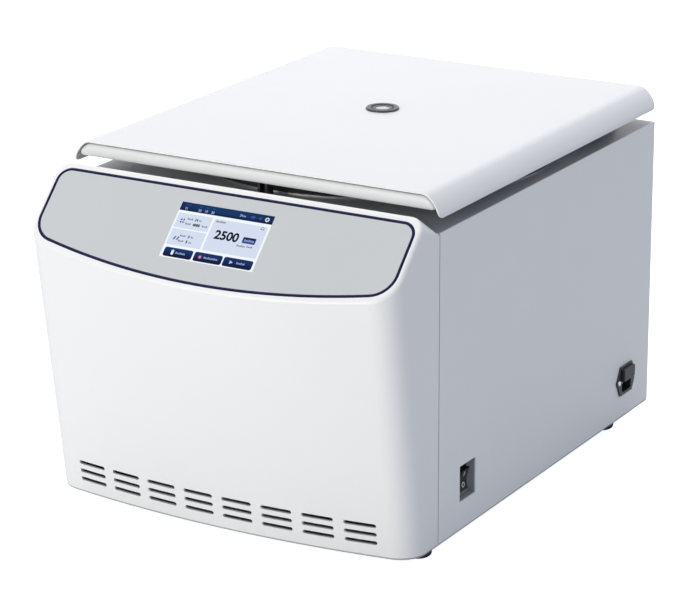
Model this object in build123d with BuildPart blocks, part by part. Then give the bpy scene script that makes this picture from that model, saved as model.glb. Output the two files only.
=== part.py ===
from build123d import *
import math
import os

# Microplate centrifuge: a bench case on four feet, a sloped control panel in front,
# a hinged lid over a round chamber, and a swing-out rotor for microplates on a
# rubber-mounted motor.
# Millimetres, +Z up, X across the front, Y from the front to the back.
# The origin is on the table, under the middle of the whole machine.

# Case
case_width = 450.0
case_height = 341.7  # from the underside of the base to the deck
case_sheet = 1.5
base_sheet = 2.0
base_inset = 0.5  # the base's edge stands in from the panels
base_rim = 18.0
foot_height = 15.0
foot_radius = 15.5
foot_rounding = 3.75
foot_chamfer = 1.0
foot_inset = 25.5  # foot centre in from the side
front_foot_back = 1.5  # front feet behind the seam
back_foot_from_back = 73.5
back_recess = 2.5  # rear panel in from the side panels' back edges
seam_ahead = 0.5  # cover stops ahead of the seam
seam_behind = 1.1  # panels start behind the seam

# Front cover
cover_reach = 112.5  # nose ahead of the seam
cover_wall = 3.0
cover_bow = 1250.0  # radius of the bowed front, seen from above
cover_corner = 30.0
cover_edge = 4.5  # rounding round the panel
front_lean = 8.35  # degrees, the front leans back below the nose
panel_slope = 45.5  # degrees
ridge_ahead = 26.4  # ridge ahead of the seam
ridge_rise = 23.4  # ridge above the deck
slope_foot_radius = 5.5
shoulder = 21.0  # rounding of the ridge's ends, fading out to the seam
shoulder_end = 0.5
shoulder_past = 1.8  # how far past the seam's edge the rounding runs out
shoulder_margin = 12.0  # how far the rounding's cutter stands clear of the cover

# Air slots in the front
slot_length = 36.4
slot_width = 4.4
slot_pitch = 48.1
slot_row_pitch = 10.0
slot_middle = 26.8  # middle row above the underside
slot_cut = 75.0  # how far behind the nose the slots are cut through
slot_columns = 8
slot_rows = 3

# Control panel
overlay_side_inset = 6.4
overlay_top = 8.35  # below the ridge, along the slope
overlay_low_inset = 5.1  # above the nose, along the slope
overlay_bow = 916.0
overlay_corner = 29.0
overlay_top_corner = 16.0
overlay_sheet = 0.8
overlay_gap = 0.1
screen_width = 114.0
screen_height = 66.0
screen_middle = 59.0  # below the ridge, along the slope
screen_gap = 0.2
screen_sink = 0.1
screen_border = 4.0
screen_depth = 12.0
bracket_sheet = 2.0
bracket_foot = 12.0
bracket_inset = 8.0  # strap's edge in from the screen's body

# Chamber
chamber_side_gap = 30.5  # bowl's wall in from the side panels
chamber_front_gap = 62.0  # bowl's wall behind the seam
chamber_back_gap = 68.5  # bowl's wall in from the case's back
bowl_sheet = 1.5
bowl_depth = 166.7  # from the deck to the bowl's floor
bowl_corner = 20.0
bowl_rim = 13.0
deck_hole_gap = 0.5
boot_hole = 24.0
gasket_inset = 5.0  # from the bowl's wall
gasket_width = 9.0
gasket_height = 8.5
guard_gap = 4.5
guard_wall = 6.0
plate_gap = 4.5  # bowl's underside to the motor plate
plate_sheet = 4.0
plate_side_gap = 23.5
plate_past_bowl = 12.0  # motor plate's ends past the bowl's wall
plate_hole = 30.0
plate_corner = 30.0
post_radius = 9.0
post_inset = 25.0  # from the plate's side edges
post_end_inset = 35.0

# Motor
damper_radius = 10.0
damper_height = 12.0
damper_from_axis = 65.0
shield_radius = 80.0
shield_plate = 8.0
shield_boss = 22.0
shield_boss_drop = 8.0
spigot_radius = 18.0
spigot_rise = 14.0
motor_radius = 62.0
motor_wall = 4.0
motor_length = 105.0
bearing_radius = 16.0
bearing_width = 10.0
bearing_recess = 1.0
bearing_collar = 4.0
motor_corner = 4.0
shaft_clearance = 2.0
stator_rise = 27.0  # above the motor's underside
stator_inner = 34.0
stator_length = 56.0
air_gap = 1.0
core_length = 50.0
shaft_radius = 8.0
shaft_collar = 14.0
shaft_collar_length = 8.0
thread_radius = 6.0
thread_length = 12.0
running_gap = 0.05
fixed_gap = 0.02
boot_wall = 3.0
boot_lip = 6.0
boot_lip_sheet = 2.0
boot_grip = 6.0  # how far the boot reaches down the spigot below the plate
boot_shaft_gap = 4.0

# Swing-out rotor
pin_above_floor = 80.0  # bucket pins above the bowl's floor
pin_from_axis = 88.0
pin_radius = 5.0
pin_engagement = 5.7
plate_bay_length = 129.0  # across the bucket, for a 127.8 mm microplate
plate_bay_width = 87.0
bucket_wall = 2.5
bucket_below_pin = 40.0
bucket_above_pin = 8.0
bucket_corner = 6.0
bucket_boss = 6.0
bucket_side_gap = 1.0
arm_thickness = 12.0
arm_height = 28.0
arm_beyond_pin = 16.0
bridge_width = 44.0
bridge_height = 22.0
hub_radius = 28.0
hub_height = 46.0
hub_above_pin = 16.0
nut_radius = 16.0
nut_height = 14.0
nut_chamfer = 1.5

# Lid
lid_rise = 40.1  # lid's top above the deck
lid_side = 0.5  # lid's edge past the side panel
lid_sheet = 1.6
lid_drop = 24.9  # top to the tip of the rolled sides
lid_bend = 14.7  # radius where the top turns down
lid_bend_turn = 37.0  # degrees
lid_flank = 32.2  # radius from the bend to the tip
lid_overhang = 1.2  # lid's front ahead of the seam
lid_back_inset = 0.5
lid_corner = 7.0  # corner of the rolled side, seen from the side
liner_sheet = 1.5
liner_inset = 1.5
liner_front_inset = 4.0
liner_front_rounding = 3.5
liner_corner = 4.5
liner_lip = 2.0  # front edge below the liner
liner_lip_depth = 9.0
disc_inset = 1.0  # disc's edge in from the gasket's outer edge
disc_sheet = 1.5
disc_corner = 3.0
rest_gap = 0.3  # between the lid and what it closes on
port_behind_axis = 22.0  # viewing port behind the chamber's axis
port_radius = 19.0
port_rise = 2.2
port_sleeve = 15.5
port_bore = 11.5
port_shelf = 9.0
port_sink = 4.0  # lens below the ring's top
lens_height = 4.0
port_nut_radius = 20.0
port_nut_height = 6.0
port_hole_gap = 0.3
port_bevel = 2.5  # sloped wall between the ring's top and the lens

# Lid hinges
hinge_x = 150.0
hinge_from_back = 11.5
hinge_pin_radius = 4.0
hinge_pin_half = 30.5
hinge_head_radius = 6.5
hinge_head = 2.0
eye_radius = 8.0
eye_half = 12.0
ear_gap = 0.3
ear_width = 5.0
ear_radius = 8.5
hinge_foot = 3.0
hinge_foot_half = 32.0
hinge_foot_front = 15.0
hinge_foot_back = 9.5
arm_plate = 2.5
arm_plate_half = 20.0
arm_plate_front = 33.0
arm_plate_back = 3.0
spring_wire = 1.0
spring_radius = 6.0
spring_turns = 4.5
spring_pitch = 2.4
spring_leg = 20.0
spring_seat = 2.3  # seat's height under the lower leg
spring_pad = 2.3  # pad's height over the upper leg
spring_seat_start = 9.0  # from the pin's axis to the seat under the leg
spring_pad_gap = 1.0
eye_neck = 12.0
arm_screw_inset = 6.0
arm_screw_half = 13.0

# Lid lock
lock_back = 28.0  # striker behind the seam
leg_thickness = 3.0
leg_width = 12.0
leg_spacing = 9.0
leg_reach = 22.5  # below the deck
leg_slot_gap = 0.8
leg_slot_travel = 2.0
leg_hole_gap = 0.75
bolt_radius = 3.0
bolt_below_deck = 13.5
bolt_rest = 8.5  # tip beside the legs
striker_half = 15.0
striker_depth = 18.0
striker_screw_half = 11.5
lock_half = 16.0
lock_depth = 20.0
lock_cavity_half = 9.0
lock_cavity_depth = 16.0
lock_height = 30.0
lock_floor = 4.0
bolt_inside = 6.0  # bolt's end in from the solenoid's far face
bolt_chamfer = 0.8
solenoid_length = 48.0
solenoid_side = 26.0

# Power switch and inlet on the right side
switch_back = 64.75
switch_height = 52.75
recess_side = 5.5  # bezel to the recess's sides
recess_rise = 4.25  # bezel to the recess's top and bottom
recess_depth = 9.5  # from the panel's outer face
recess_wall = 1.5
recess_flange = 5.0
bezel_side = 3.2
bezel_rise = 2.0
bezel_border = 1.5
switch_depth = 24.0
rocker_gap = 0.3
rocker_width = 17.0
rocker_height = 25.0
rocker_rise = 4.6
rocker_notch = 2.4  # hollow between the rocker's two ends
rocker_depth = 5.0
rocker_axle = 1.5
rocker_stub = 1.4  # axle past the rocker's side
rocker_taper = 1.5
rocker_tilt = 6.0  # degrees either side of the middle
rocker_axis_depth = 2.5  # axle's axis behind the bezel's face
rocker_bay_depth = 12.4
bezel_corner = 2.0
bezel_chamfer = 0.6
inlet_from_back = 62.8
inlet_height = 46.5
inlet_length = 50.0
inlet_tall = 36.0
inlet_top_length = 31.0
inlet_flange = 2.0
inlet_corner = 2.0
inlet_chamfer = 0.6
inlet_side_wall = 1.2
inlet_top_wall = 0.9
inlet_web = 1.0  # half the wall between the socket and the drawer
inlet_depth = 34.0
socket_length = 24.0
socket_tall = 13.0
socket_depth = 17.0
socket_corner = 4.0
socket_pin_length = 9.0
socket_pin_thick = 2.0
socket_pin_tall = 4.0
socket_pin_chamfer = 0.4
socket_pin_spacing = 7.0
drawer_length = 25.0
drawer_tall = 13.0
drawer_depth = 26.0
drawer_face = 4.5
drawer_gap = 0.3
drawer_lip_length = 3.0  # how much longer the drawer's face is than its body
drawer_lip_tall = 2.0
drawer_corner = 1.5
drawer_chamfer = 0.8
drawer_wall = 2.5
drawer_end = 4.0
inlet_screw_spacing = 40.0

# Fasteners
screw_radius = 1.5
screw_gap = 0.1
screw_head = 3.0
screw_head_height = 2.0
inlet_head_height = 1.3

# Inside the case
boss_radius = 5.5
boss_length = 22.0
boss_bore = 18.0
screw_reach = 16.0
rear_screw_reach = 7.5
boss_from_side = 12.0
boss_low = 50.0
boss_high = 290.0
vent_width = 320.0  # air opening in the bulkhead
vent_height = 90.0
vent_corner = 12.0
vent_middle = 75.0  # above the underside
cable_width = 60.0
cable_height = 24.0
cable_corner = 8.0
cable_drop = 50.0  # below the deck
board_width = 170.0
board_height = 110.0
board_sheet = 1.6
board_low = 150.0
board_hole_inset = 8.0
board_chips = ((-20.0, 0.0, 28.0, 28.0), (50.0, 30.0, 40.0, 14.0), (-50.0, -36.0, 50.0, 12.0))
chip_height = 8.0
capacitor_radius = 6.0
capacitor_height = 16.0
capacitor_pitch = 16.0
capacitor_place = (45.0, -25.0)
standoff_radius = 3.5
standoff_length = 8.0
rear_screw_inset = 10.0
grille_slot = 4.5
grille_pitch = 9.0
grille_rows = 12
grille_border = 2.0
exhaust_length = 110.0
exhaust_pitch = 10.0
exhaust_rows = 9
fan_side = 120.0
fan_depth = 25.0
fan_bore = 57.0
fan_from_side = 103.5
fan_low = 20.0
fan_hub = 20.0
fan_blades = 7
fan_tip_gap = 2.0
fan_axle = 3.0
fan_hole_spacing = 105.0
fan_corner = 6.0
spider_depth = 4.0
spider_width = 5.0
axle_end_gap = 4.0  # axle's end in from the frame's front
impeller_gap = 0.5
impeller_front_gap = 2.0
impeller_cap = 1.0  # closed front of the impeller's hub
blade_sheet = 1.6
blade_pitch = 40.0  # degrees
blade_root_sink = 2.0
drive_width = 100.0
drive_length = 150.0
drive_height = 46.0
drive_from_rim = 30.0
drive_behind = 60.0  # behind the chamber's axis
drive_corner = 3.0
fin_inset = 6.0
fin_count = 9
fin_height = 16.0
fin_sheet = 3.0
filter_width = 45.0
filter_length = 75.0
filter_height = 24.0
filter_from_rim = 20.0
filter_ahead = 105.0  # ahead of the chamber's axis
filter_corner = 2.0
filter_foot = 10.0
filter_foot_inset = 15.0
filter_foot_sheet = 1.5
tab_width = 6.3
tab_sheet = 0.8
tab_length = 8.0
tab_spacing = 14.0

# Places worked out from the sizes
half_width = case_width / 2
inner_half = half_width - case_sheet
bowl_radius = inner_half - chamber_side_gap
case_length = chamber_front_gap + 2 * bowl_radius + chamber_back_gap  # from the seam to the back
nose_y = -(case_length + cover_reach) / 2
seam_y = nose_y + cover_reach
back_y = seam_y + case_length
panels_front = seam_y + seam_behind
cover_back = seam_y - seam_ahead
rear_face = back_y - back_recess
rear_inner = rear_face - case_sheet
bulkhead_back = panels_front + case_sheet

base_bottom = foot_height
base_top = base_bottom + base_sheet
deck_top = base_bottom + case_height
deck_under = deck_top - case_sheet

ridge_y = seam_y - ridge_ahead
ridge_z = deck_top + ridge_rise
slope_tan = math.tan(math.radians(panel_slope))
lean_tan = math.tan(math.radians(front_lean))
nose_z = ridge_z - (ridge_y - nose_y) * slope_tan
overlay_half = half_width - overlay_side_inset
overlay_bottom = (ridge_y - nose_y) / math.cos(math.radians(panel_slope)) - overlay_low_inset
panel_normal = Vector(0, -math.sin(math.radians(panel_slope)), math.cos(math.radians(panel_slope)))
panel_plane = Plane(origin=(0, ridge_y, ridge_z), x_dir=(1, 0, 0), z_dir=panel_normal)

chamber_y = seam_y + chamber_front_gap + bowl_radius
gasket_inner = bowl_radius + gasket_inset
gasket_outer = gasket_inner + gasket_width
guard_inner = bowl_radius + bowl_sheet + guard_gap
plate_half = inner_half - plate_side_gap
plate_reach = bowl_radius + plate_past_bowl
post_x = plate_half - post_inset
post_y = plate_reach - post_end_inset
bowl_floor = deck_top - bowl_depth
bowl_under = bowl_floor - bowl_sheet
rim_top = deck_top + bowl_sheet
gasket_top = rim_top + gasket_height
plate_top = bowl_under - plate_gap
plate_under = plate_top - plate_sheet
shield_top = plate_under - damper_height
shield_under = shield_top - shield_plate
motor_under = shield_under - motor_length
motor_inner = motor_radius - motor_wall
upper_bearing = shield_under - shield_boss_drop + bearing_recess
lower_bearing = motor_under + motor_wall
stator_low = motor_under + stator_rise
core_low = stator_low + (stator_length - core_length) / 2

pin_z = bowl_floor + pin_above_floor
hub_top = pin_z + hub_above_pin
hub_under = hub_top - hub_height
bucket_length = plate_bay_length + 2 * bucket_wall
bucket_width = plate_bay_width + 2 * bucket_wall
boss_face = bucket_length / 2 + bucket_boss
arm_inner = boss_face + bucket_side_gap
arm_outer = arm_inner + arm_thickness

lid_half = half_width + lid_side
lid_top = deck_top + lid_rise
lid_under = lid_top - lid_sheet
lid_tip = lid_top - lid_drop
bend_sine = math.sin(math.radians(lid_bend_turn))
bend_cosine = math.cos(math.radians(lid_bend_turn))
flank_z = lid_top - lid_bend - (lid_flank - lid_bend) * bend_cosine
flank_x = lid_half - math.sqrt(lid_flank**2 - (lid_tip - flank_z) ** 2)
bend_x = flank_x + (lid_flank - lid_bend) * bend_sine
bend_z = lid_top - lid_bend
lid_front = seam_y - lid_overhang
lid_back = back_y - lid_back_inset
hinge_y = back_y - hinge_from_back
hinge_z = deck_top + hinge_foot + spring_seat + spring_wire + spring_radius
pad_under = hinge_z + spring_radius + spring_wire + rest_gap
arm_plate_under = pad_under + spring_pad
liner_under = arm_plate_under + arm_plate
liner_height = lid_under - liner_under
liner_front = lid_front + liner_front_inset
liner_back = lid_back - liner_inset
disc_radius = gasket_outer - disc_inset
disc_under = gasket_top + rest_gap
port_y = chamber_y + port_behind_axis
ear_start = eye_half + ear_gap
ear_end = ear_start + ear_width

lock_y = seam_y + lock_back
leg_low = deck_top - leg_reach
bolt_z = deck_top - bolt_below_deck
leg_window = 2 * (bolt_radius + leg_hole_gap)
switch_y = seam_y + switch_back
switch_z = base_bottom + switch_height
recess_floor = half_width - recess_depth
rocker_bay_width = rocker_width + 2 * rocker_gap
rocker_bay_height = rocker_height + 2 * rocker_gap
bezel_width = rocker_bay_width + 2 * bezel_side
bezel_height = rocker_bay_height + 2 * bezel_side
recess_width = bezel_width + 2 * recess_side
recess_height = bezel_height + 2 * recess_rise
inlet_y = back_y - inlet_from_back
inlet_z = base_bottom + inlet_height
inlet_body_length = drawer_length + 2 * (drawer_gap + inlet_side_wall)
inlet_body_tall = 2 * (inlet_web + 2 * drawer_gap + drawer_tall + inlet_top_wall)
socket_z = inlet_z - inlet_web - socket_tall / 2
drawer_z = inlet_z + inlet_web + drawer_gap + drawer_tall / 2
boss_x = half_width - boss_from_side
boss_heights = (base_bottom + boss_low, base_bottom + boss_high)
boss_places = [(side * boss_x, height) for side in (-1, 1) for height in boss_heights]
board_z = base_bottom + board_low + board_height / 2
rear_plane = Plane.XZ.offset(-rear_face)
rear_middle = (base_top + deck_under) / 2
rear_screw_x = inner_half - boss_from_side
rear_screw_z = (deck_under - base_top) / 2 - rear_screw_inset
fan_x = fan_from_side - inner_half
fan_z = base_top + fan_low + fan_side / 2
filter_y = chamber_y - filter_ahead


def keep(piece, name):
    """Label a finished piece and write its STEP file."""
    piece.part.label = name
    export_step(piece.part, f"parts/{name}.step")


def front_at(height):
    """How far forward the cover's front is at a height."""
    return nose_y + (nose_z - height) * lean_tan


def bowed_plate(half, front, back, bow, corner):
    """Draw a plate with a bowed front edge and round front corners."""
    with Locations((0, front + bow)):
        Circle(bow)
    with Locations((0, (front - corner + back) / 2)):
        Rectangle(2 * half, back - front + corner, mode=Mode.INTERSECT)
    fillet(vertices().group_by(Axis.Y)[0], corner)


def shoulder_outline(side, corner, rounding):
    """Draw what rounds off one upper corner of the panel: a square past it, less a circle."""
    cutter = corner + shoulder_margin
    with Locations((side * (half_width - corner + cutter / 2), cutter / 2 - corner)):
        Rectangle(cutter, cutter)
    with Locations((side * (half_width - corner), -corner)):
        Circle(rounding, mode=Mode.SUBTRACT)


def overlay_outline(gap):
    """Draw the control panel's outline on the panel's slope."""
    bowed_plate(
        overlay_half + gap, -overlay_bottom - gap, gap - overlay_top, overlay_bow + gap, overlay_corner + gap
    )
    fillet(vertices().group_by(Axis.Y)[-1], overlay_top_corner + gap)


def on_arc(x, z, radius, turn):
    """Find a point on an arc round a centre, its turn in degrees from straight up."""
    return (x + radius * math.sin(math.radians(turn)), z + radius * math.cos(math.radians(turn)))


def rolled_section(inset):
    """Draw the lid's section, inset from its outer face: flat on top, its sides turned down on two radii."""
    tip_turn = math.degrees(math.acos((lid_tip - flank_z) / (lid_flank - inset)))
    bend_turns = (0, lid_bend_turn / 2, lid_bend_turn)
    flank_turns = (lid_bend_turn, (lid_bend_turn + tip_turn) / 2, tip_turn)
    with BuildSketch() as section:
        with BuildLine():
            bend = ThreePointArc(*[on_arc(bend_x, bend_z, lid_bend - inset, turn) for turn in bend_turns])
            flank = ThreePointArc(*[on_arc(flank_x, flank_z, lid_flank - inset, turn) for turn in flank_turns])
            Line((0, lid_top - inset), bend @ 0)
            Line(flank @ 1, (0, lid_tip))
            mirror(about=Plane.YZ)
        make_face()
    return section.sketch_local


def liner_outline(section, bottom):
    """Draw the lid liner's outline: the part of a section above one height, its lower corners rounded."""
    add(section)
    with Locations((0, (bottom + lid_under) / 2)):
        Rectangle(2 * lid_half, lid_under - bottom, mode=Mode.INTERSECT)
    fillet(vertices().group_by(Axis.Y)[0], liner_corner)


def span(x_ends, y_ends, z_ends, mode=Mode.ADD):
    """Make a block between two ends on each axis."""
    middle = ((x_ends[0] + x_ends[1]) / 2, (y_ends[0] + y_ends[1]) / 2, (z_ends[0] + z_ends[1]) / 2)
    with Locations(middle):
        Box(x_ends[1] - x_ends[0], y_ends[1] - y_ends[0], z_ends[1] - z_ends[0], mode=mode)


def cover_envelope(inset, reach):
    """The front cover's outer form, moved in by a wall, and past its open sides by a reach."""
    lean_inset = inset / math.cos(math.radians(front_lean))
    ahead = nose_y - cover_corner
    slope_foot = ridge_y + ridge_rise
    with BuildPart() as envelope:
        for height in (base_top - reach, ridge_z):
            with BuildSketch(Plane.XY.offset(height)):
                bowed_plate(
                    half_width - inset,
                    front_at(height) + lean_inset,
                    cover_back + reach,
                    cover_bow - inset,
                    cover_corner - inset,
                )
        loft(ruled=True)
        with BuildSketch(Plane.YZ) as side:
            with BuildLine():
                Polyline(
                    (cover_back + reach, base_top - reach),
                    (ahead, base_top - reach),
                    (ahead, nose_z - (nose_y - ahead) * slope_tan),
                    (ridge_y, ridge_z),
                    (slope_foot, deck_top),
                    (cover_back + reach, deck_top),
                    close=True,
                )
            make_face()
            foot = side.vertices().sort_by_distance((slope_foot, deck_top))[0]
            fillet(foot, slope_foot_radius)
            if inset:
                offset(amount=-inset, mode=Mode.REPLACE)
        extrude(amount=case_width, both=True, mode=Mode.INTERSECT)
    return envelope.part


os.makedirs("parts", exist_ok=True)

# Base tray: a flat base under the whole machine with rims up inside the panels
with BuildPart() as base_tray:
    with BuildSketch(Plane.XY.offset(base_bottom)):
        bowed_plate(
            half_width - base_inset,
            front_at(base_top) + base_inset,
            back_y - base_inset,
            cover_bow - base_inset,
            cover_corner - base_inset,
        )
    extrude(amount=base_sheet)
    for side in (-1, 1):
        rim_ends = sorted((side * inner_half, side * (inner_half - base_sheet)))
        span(rim_ends, (bulkhead_back, rear_inner), (base_top, base_top + base_rim))
    span(
        (-inner_half + base_sheet, inner_half - base_sheet),
        (rear_inner - base_sheet, rear_inner),
        (base_top, base_top + base_rim),
    )
    with BuildSketch(rear_plane):
        with Locations((0, rear_middle - rear_screw_z)):
            with GridLocations(2 * rear_screw_x, 0, 2, 1):
                Circle(screw_radius + screw_gap)
    extrude(amount=case_sheet + base_sheet, mode=Mode.SUBTRACT)
keep(base_tray, "base_tray")

# Rubber feet, rounded over at the bottom
with BuildPart() as rubber_feet:
    for foot_back in (front_foot_back, case_length - back_foot_from_back):
        for side in (-1, 1):
            foot_place = (side * (half_width - foot_inset), seam_y + foot_back)
            with BuildSketch() as foot_print:
                with Locations(foot_place):
                    Circle(foot_radius)
            extrude(amount=foot_height)
    fillet(rubber_feet.edges().group_by(Axis.Z)[0], foot_rounding)
    chamfer(rubber_feet.edges().group_by(Axis.Z)[-1], foot_chamfer)
keep(rubber_feet, "rubber_feet")

# Side panels
with BuildPart() as left_side_panel:
    span((-half_width, -inner_half), (panels_front, back_y), (base_top, deck_top))
keep(left_side_panel, "left_side_panel")

with BuildPart() as right_side_panel:
    span((inner_half, half_width), (panels_front, back_y), (base_top, deck_top))
    with BuildSketch(Plane.YZ.offset(inner_half)):
        with Locations((switch_y, switch_z)):
            Rectangle(recess_width, recess_height)
        with Locations((inlet_y, inlet_z)):
            Rectangle(inlet_body_length, inlet_body_tall)
    extrude(amount=case_sheet, mode=Mode.SUBTRACT)
keep(right_side_panel, "right_side_panel")

# Front bulkhead behind the seam, with an air opening and a cable opening
with BuildPart() as front_bulkhead:
    span((-inner_half, inner_half), (panels_front, bulkhead_back), (base_top, deck_under))
    with BuildSketch(Plane.XZ.offset(-bulkhead_back)):
        with Locations((0, base_bottom + vent_middle)):
            RectangleRounded(vent_width, vent_height, vent_corner)
        with Locations((0, deck_top - cable_drop)):
            RectangleRounded(cable_width, cable_height, cable_corner)
        with Locations(*boss_places):
            Circle(screw_radius + screw_gap)
    extrude(amount=case_sheet, mode=Mode.SUBTRACT)
keep(front_bulkhead, "front_bulkhead")

# Deck with the chamber's opening, the two striker slots and rims down the sides
with BuildPart() as deck_plate:
    span((-inner_half, inner_half), (panels_front, back_y - base_inset), (deck_under, deck_top))
    for side in (-1, 1):
        rim_ends = sorted((side * inner_half, side * (inner_half - case_sheet)))
        span(rim_ends, (bulkhead_back, rear_inner), (deck_under - base_rim, deck_under))
    span(
        (-inner_half + case_sheet, inner_half - case_sheet),
        (rear_inner - case_sheet, rear_inner),
        (deck_under - base_rim, deck_under),
    )
    with BuildSketch(rear_plane):
        with Locations((0, rear_middle + rear_screw_z)):
            with GridLocations(2 * rear_screw_x, 0, 2, 1):
                Circle(screw_radius + screw_gap)
    extrude(amount=2 * case_sheet, mode=Mode.SUBTRACT)
    with BuildSketch(Plane.XY.offset(deck_under)):
        with Locations((0, chamber_y)):
            Circle(bowl_radius + bowl_sheet + deck_hole_gap)
        with Locations(*[(side * leg_spacing / 2, lock_y) for side in (-1, 1)]):
            Rectangle(leg_thickness + 2 * leg_slot_gap, leg_width + 2 * leg_slot_travel)
    extrude(amount=case_sheet, mode=Mode.SUBTRACT)
keep(deck_plate, "deck_plate")

# Rear panel with a fan grille, exhaust slots and screw holes
with BuildPart() as rear_panel:
    span((-inner_half, inner_half), (rear_inner, rear_face), (base_top, deck_under))
    with BuildSketch(rear_plane):
        with BuildSketch(mode=Mode.PRIVATE) as grille_slots:
            with Locations((fan_x, fan_z)):
                with GridLocations(0, grille_pitch, 1, grille_rows):
                    SlotOverall(2 * fan_bore, grille_slot)
        with BuildSketch(mode=Mode.PRIVATE) as grille_disc:
            with Locations((fan_x, fan_z)):
                Circle(fan_bore - grille_border)
        add(grille_slots.sketch & grille_disc.sketch)
        with Locations((-fan_x, fan_z)):
            with GridLocations(0, exhaust_pitch, 1, exhaust_rows):
                SlotOverall(exhaust_length, grille_slot)
        with Locations((0, rear_middle)):
            with GridLocations(2 * rear_screw_x, 2 * rear_screw_z, 2, 2):
                Circle(screw_radius + screw_gap)
        with Locations((fan_x, fan_z)):
            with GridLocations(fan_hole_spacing, fan_hole_spacing, 2, 2):
                Circle(screw_radius + screw_gap)
    extrude(amount=case_sheet, mode=Mode.SUBTRACT)
keep(rear_panel, "rear_panel")

# Front cover: a moulded shell with the sloped panel, air slots and screw bosses
cover_core = cover_envelope(cover_wall, 2 * cover_wall)
cover_block = cover_envelope(0, 0)
shoulder_depth = (seam_y - ridge_y) * -panel_normal.Y + ridge_rise * panel_normal.Z + shoulder_past
with BuildPart() as cover_hollow:
    add(cover_core)
    for side in (-1, 1):
        with BuildSketch(panel_plane):
            shoulder_outline(side, shoulder, shoulder - cover_wall)
        extrude(amount=-2 * shoulder_depth, mode=Mode.SUBTRACT)

with BuildPart() as front_cover:
    add(cover_block)
    panel_face = front_cover.faces().filter_by(lambda face: face.normal_at().dot(panel_normal) > 0.999)[0]
    fillet(panel_face.edges().sort_by(Axis.Z)[:-1], cover_edge)
    for side in (-1, 1):
        with BuildSketch(panel_plane):
            shoulder_outline(side, shoulder, shoulder)
        with BuildSketch(panel_plane.offset(-shoulder_depth)):
            shoulder_outline(side, shoulder_end, shoulder_end)
        loft(ruled=True, mode=Mode.SUBTRACT)
    panel_face = front_cover.faces().filter_by(lambda face: face.normal_at().dot(panel_normal) > 0.999)[0]
    fillet(panel_face.edges().sort_by(Axis.Z)[-3:], cover_edge)
    add(cover_hollow.part, mode=Mode.SUBTRACT)
    with BuildSketch(panel_plane):
        overlay_outline(overlay_gap)
    extrude(amount=-overlay_sheet, mode=Mode.SUBTRACT)
    with BuildSketch(panel_plane):
        with Locations((0, -screen_middle)):
            Rectangle(screen_width + 2 * screen_gap, screen_height + 2 * screen_gap)
    extrude(amount=-2 * cover_wall, mode=Mode.SUBTRACT)
    with BuildSketch(Plane.XZ.offset(-nose_y)):
        with Locations((0, base_bottom + slot_middle)):
            with GridLocations(slot_pitch, slot_row_pitch, slot_columns, slot_rows):
                SlotOverall(slot_length, slot_width)
    extrude(amount=-slot_cut, mode=Mode.SUBTRACT)
    for place_x, place_z in boss_places:
        boss_ends = sorted((place_x, math.copysign(half_width - cover_wall, place_x)))
        boss_heads = (place_z - boss_radius, place_z + boss_radius)
        span(boss_ends, (panels_front - boss_length, panels_front), boss_heads)
    with BuildSketch(Plane.XZ.offset(-panels_front)):
        with Locations(*boss_places):
            Circle(boss_radius)
    extrude(amount=boss_length)
    with BuildSketch(Plane.XZ.offset(-panels_front)):
        with Locations(*boss_places):
            Circle(screw_radius + screw_gap)
    extrude(amount=boss_bore, mode=Mode.SUBTRACT)
keep(front_cover, "front_cover")

# Control overlay: a printed sheet in the cover's shallow seat, with the screen's window
with BuildPart() as control_overlay:
    with BuildSketch(panel_plane):
        overlay_outline(0)
        with Locations((0, -screen_middle)):
            Rectangle(screen_width + 2 * screen_gap, screen_height + 2 * screen_gap, mode=Mode.SUBTRACT)
    extrude(amount=-overlay_sheet)
keep(control_overlay, "control_overlay")

# Touch screen: its front stands in the window, its body seats behind the cover's wall
body_width = screen_width + 2 * screen_border
body_height = screen_height + 2 * screen_border
with BuildPart() as touch_screen:
    with BuildSketch(panel_plane.offset(-screen_sink)):
        with Locations((0, -screen_middle)):
            Rectangle(screen_width, screen_height)
    extrude(amount=screen_sink - cover_wall)
    with BuildSketch(panel_plane.offset(-cover_wall)):
        with Locations((0, -screen_middle)):
            Rectangle(body_width, body_height)
    extrude(amount=-screen_depth)
keep(touch_screen, "touch_screen")

# Screen bracket: a pressed strap over the screen's back, its feet on the cover's wall
strap_width = body_width + 2 * screen_gap
strap_height = body_height - 2 * bracket_inset
with BuildPart() as screen_bracket:
    with BuildSketch(panel_plane.offset(-cover_wall)):
        with Locations((0, -screen_middle)):
            Rectangle(strap_width + 2 * bracket_foot, strap_height)
            Rectangle(strap_width, strap_height, mode=Mode.SUBTRACT)
    extrude(amount=-bracket_sheet)
    with BuildSketch(panel_plane.offset(-cover_wall)):
        with Locations((0, -screen_middle)):
            Rectangle(strap_width + 2 * bracket_sheet, strap_height)
            Rectangle(strap_width, strap_height, mode=Mode.SUBTRACT)
    extrude(amount=-screen_depth)
    with BuildSketch(panel_plane.offset(-cover_wall - screen_depth)):
        with Locations((0, -screen_middle)):
            Rectangle(strap_width + 2 * bracket_sheet, strap_height)
    extrude(amount=-bracket_sheet)
keep(screen_bracket, "screen_bracket")

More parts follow.
